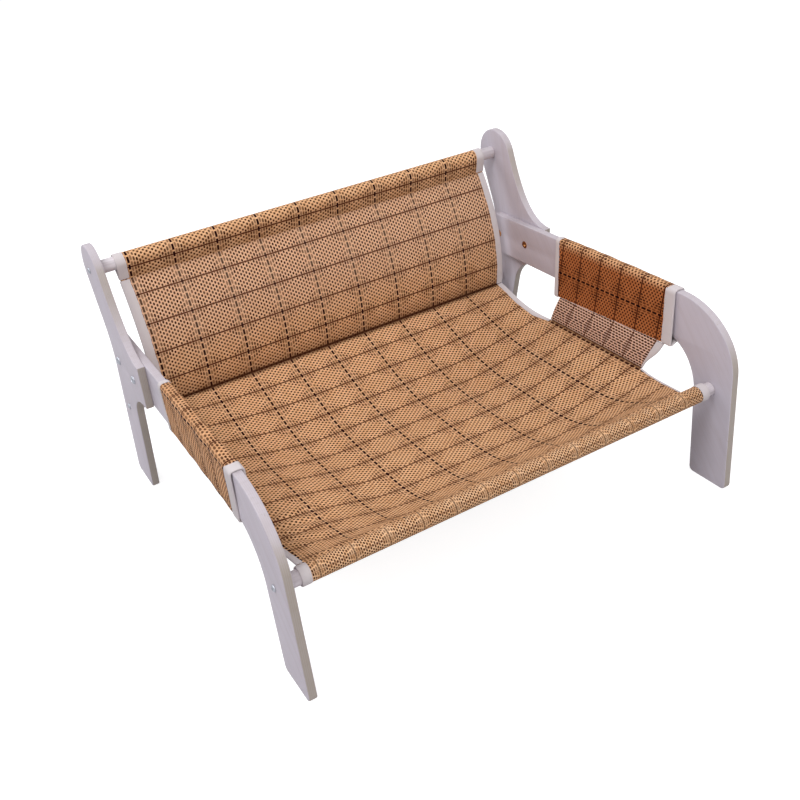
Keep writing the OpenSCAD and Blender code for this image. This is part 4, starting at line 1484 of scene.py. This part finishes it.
class SLING_OT_wings(bpy.types.Operator):
    """Builds the arm sleeves with their webs"""

    bl_idname = "sling.wings"
    bl_label = "Wings"

    def execute(self, context):
        for side in SIDES:
            parts = wing_parts(side)
            length = sum(part.flat[-1, 0, 0] - part.flat[0, 0, 0] for part in parts)
            woven(
                f"wing_{side}_cloth",
                parts,
                [f"wing_{side}"],
                f"wing_{side}",
                wing_bindings(side),
                flat=((MOUTH_REAR_Y[side] - MOUTH_FRONT_Y[side]) * MM, length * MM),
                held="hung",
                rests_on=[f"arm_leg_{side}"],
                area=sum(part.area() for part in parts),
            )
        return {"FINISHED"}


class SLING_OT_stage(bpy.types.Operator):
    """Builds the floor, the lamps, the world and the camera"""

    bl_idname = "sling.stage"
    bl_label = "Stage"
    CAMERA_PLACE = (-438.5, -846.5, 676.6)
    CAMERA_RIGHT = (0.8568, -0.5045, -0.1062)
    CAMERA_UP = (0.3403, 0.3986, 0.8517)
    CAMERA_LENS, CAMERA_SENSOR = 43.84, 36.0
    FLOOR_HALF, FLOOR_GLOW = 12.0, 0.82
    WORLD_LIGHT, WORLD_TINT = 0.46, (0.96, 0.98, 1.0)
    WHITE = (1.0, 1.0, 1.0)
    LAMP_AIM = (0.0, 0.0, 0.12)
    LAMPS = {
        "key": ((-1.3, -0.6, 2.65), 1.2, 41.0, (0.975, 0.985, 1.0)),
        "front": ((-0.6, -2.6, 1.7), 1.8, 32.0, (1.0, 0.99, 0.97)),
        "side": ((2.1, -0.9, 1.7), 1.8, 20.0, (1.0, 0.99, 0.97)),
        "rim": ((-1.2, 1.9, 2.0), 1.6, 24.0, (0.97, 0.98, 1.0)),
    }

    def execute(self, context):
        self.make_camera(context.scene)
        self.make_floor(context.scene)
        self.make_lamps(context.scene)
        self.make_world(context.scene)
        context.scene.view_settings.view_transform = "Standard"
        return {"FINISHED"}

    def make_camera(self, scene):
        data = bpy.data.cameras.new("camera")
        data.lens, data.sensor_width = self.CAMERA_LENS, self.CAMERA_SENSOR
        camera = bpy.data.objects.new("camera", data)
        right = Vector(self.CAMERA_RIGHT).normalized()
        back = right.cross(Vector(self.CAMERA_UP)).normalized()
        turn = Matrix((right, back.cross(right), back)).transposed()
        camera.matrix_world = Matrix.Translation(Vector(self.CAMERA_PLACE) * MM) @ turn.to_4x4()
        scene.collection.objects.link(camera)
        scene.camera = camera

    def make_floor(self, scene):
        h = self.FLOOR_HALF
        mesh = bpy.data.meshes.new("floor")
        mesh.from_pydata([(-h, -h, 0.0), (h, -h, 0.0), (h, h, 0.0), (-h, h, 0.0)], [], [(0, 1, 2, 3)])
        s = Shade("pale_floor")
        colour = s.mix(0.2 * s.noise(s.place(), 3.0), finishes().floor, srgb(174, 174, 177))
        paint = s.node("ShaderNodeBsdfDiffuse", None, {"Color": colour})
        light = {"Color": self.WHITE, "Strength": s.seen() * self.FLOOR_GLOW}
        glow = s.node("ShaderNodeEmission", None, light)
        mesh.materials.append(s.end(s.node("ShaderNodeAddShader", None, {0: paint, 1: glow})))
        floor = bpy.data.objects.new("floor", mesh)
        scene.collection.objects.link(floor)

    def make_lamps(self, scene):
        for name, (place, width, power, colour) in self.LAMPS.items():
            data = bpy.data.lights.new(name, "AREA")
            data.shape, data.size, data.energy, data.color = "DISK", width, power, colour
            lamp = bpy.data.objects.new(name, data)
            lamp.location = place
            lamp.rotation_euler = (Vector(self.LAMP_AIM) - Vector(place)).to_track_quat("-Z", "Y").to_euler()
            scene.collection.objects.link(lamp)

    def make_world(self, scene):
        s = Shade("studio", "worlds")
        light = {"Color": self.WORLD_TINT, "Strength": self.WORLD_LIGHT}
        soft = s.node("ShaderNodeBackground", None, light)
        white = s.node("ShaderNodeBackground", None, {"Color": self.WHITE, "Strength": 1.0})
        scene.world = s.end(s.node("ShaderNodeMixShader", None, {0: s.seen(), 1: soft, 2: white}), "World")


STEPS = (
    SLING_OT_stage,
    SLING_OT_boards,
    SLING_OT_dowels,
    SLING_OT_fasteners,
    SLING_OT_back,
    SLING_OT_seat,
    SLING_OT_wings,
)


class SLING_PT_panel(bpy.types.Panel):
    """Lists the pieces of the bed with their sizes and colours"""

    bl_idname = "SLING_PT_panel"
    bl_label = "Sling bed"
    bl_space_type = "VIEW_3D"
    bl_region_type = "UI"
    bl_category = "Sling bed"

    def draw(self, context):
        for step in STEPS:
            self.layout.operator(step.bl_idname, text=step.bl_label)
        for group in (context.scene.sling_sizes, context.scene.sling_finishes):
            box = self.layout.box()
            for key in type(group).__annotations__:
                box.prop(group, key)


CLASSES = (CoverSizes, Finishes, *STEPS, SLING_PT_panel)


def register():
    for cls in CLASSES:
        bpy.utils.register_class(cls)
    bpy.types.Scene.sling_sizes = bpy.props.PointerProperty(type=CoverSizes)
    bpy.types.Scene.sling_finishes = bpy.props.PointerProperty(type=Finishes)


def unregister():
    del bpy.types.Scene.sling_finishes
    del bpy.types.Scene.sling_sizes
    for cls in reversed(CLASSES):
        bpy.utils.unregister_class(cls)


def main():
    """Builds the whole bed."""
    register()
    bpy.ops.sling.stage()
    bpy.ops.sling.boards()
    bpy.ops.sling.dowels()
    bpy.ops.sling.fasteners()
    bpy.ops.sling.back()
    bpy.ops.sling.seat()
    bpy.ops.sling.wings()


if __name__ == "__main__":
    main()
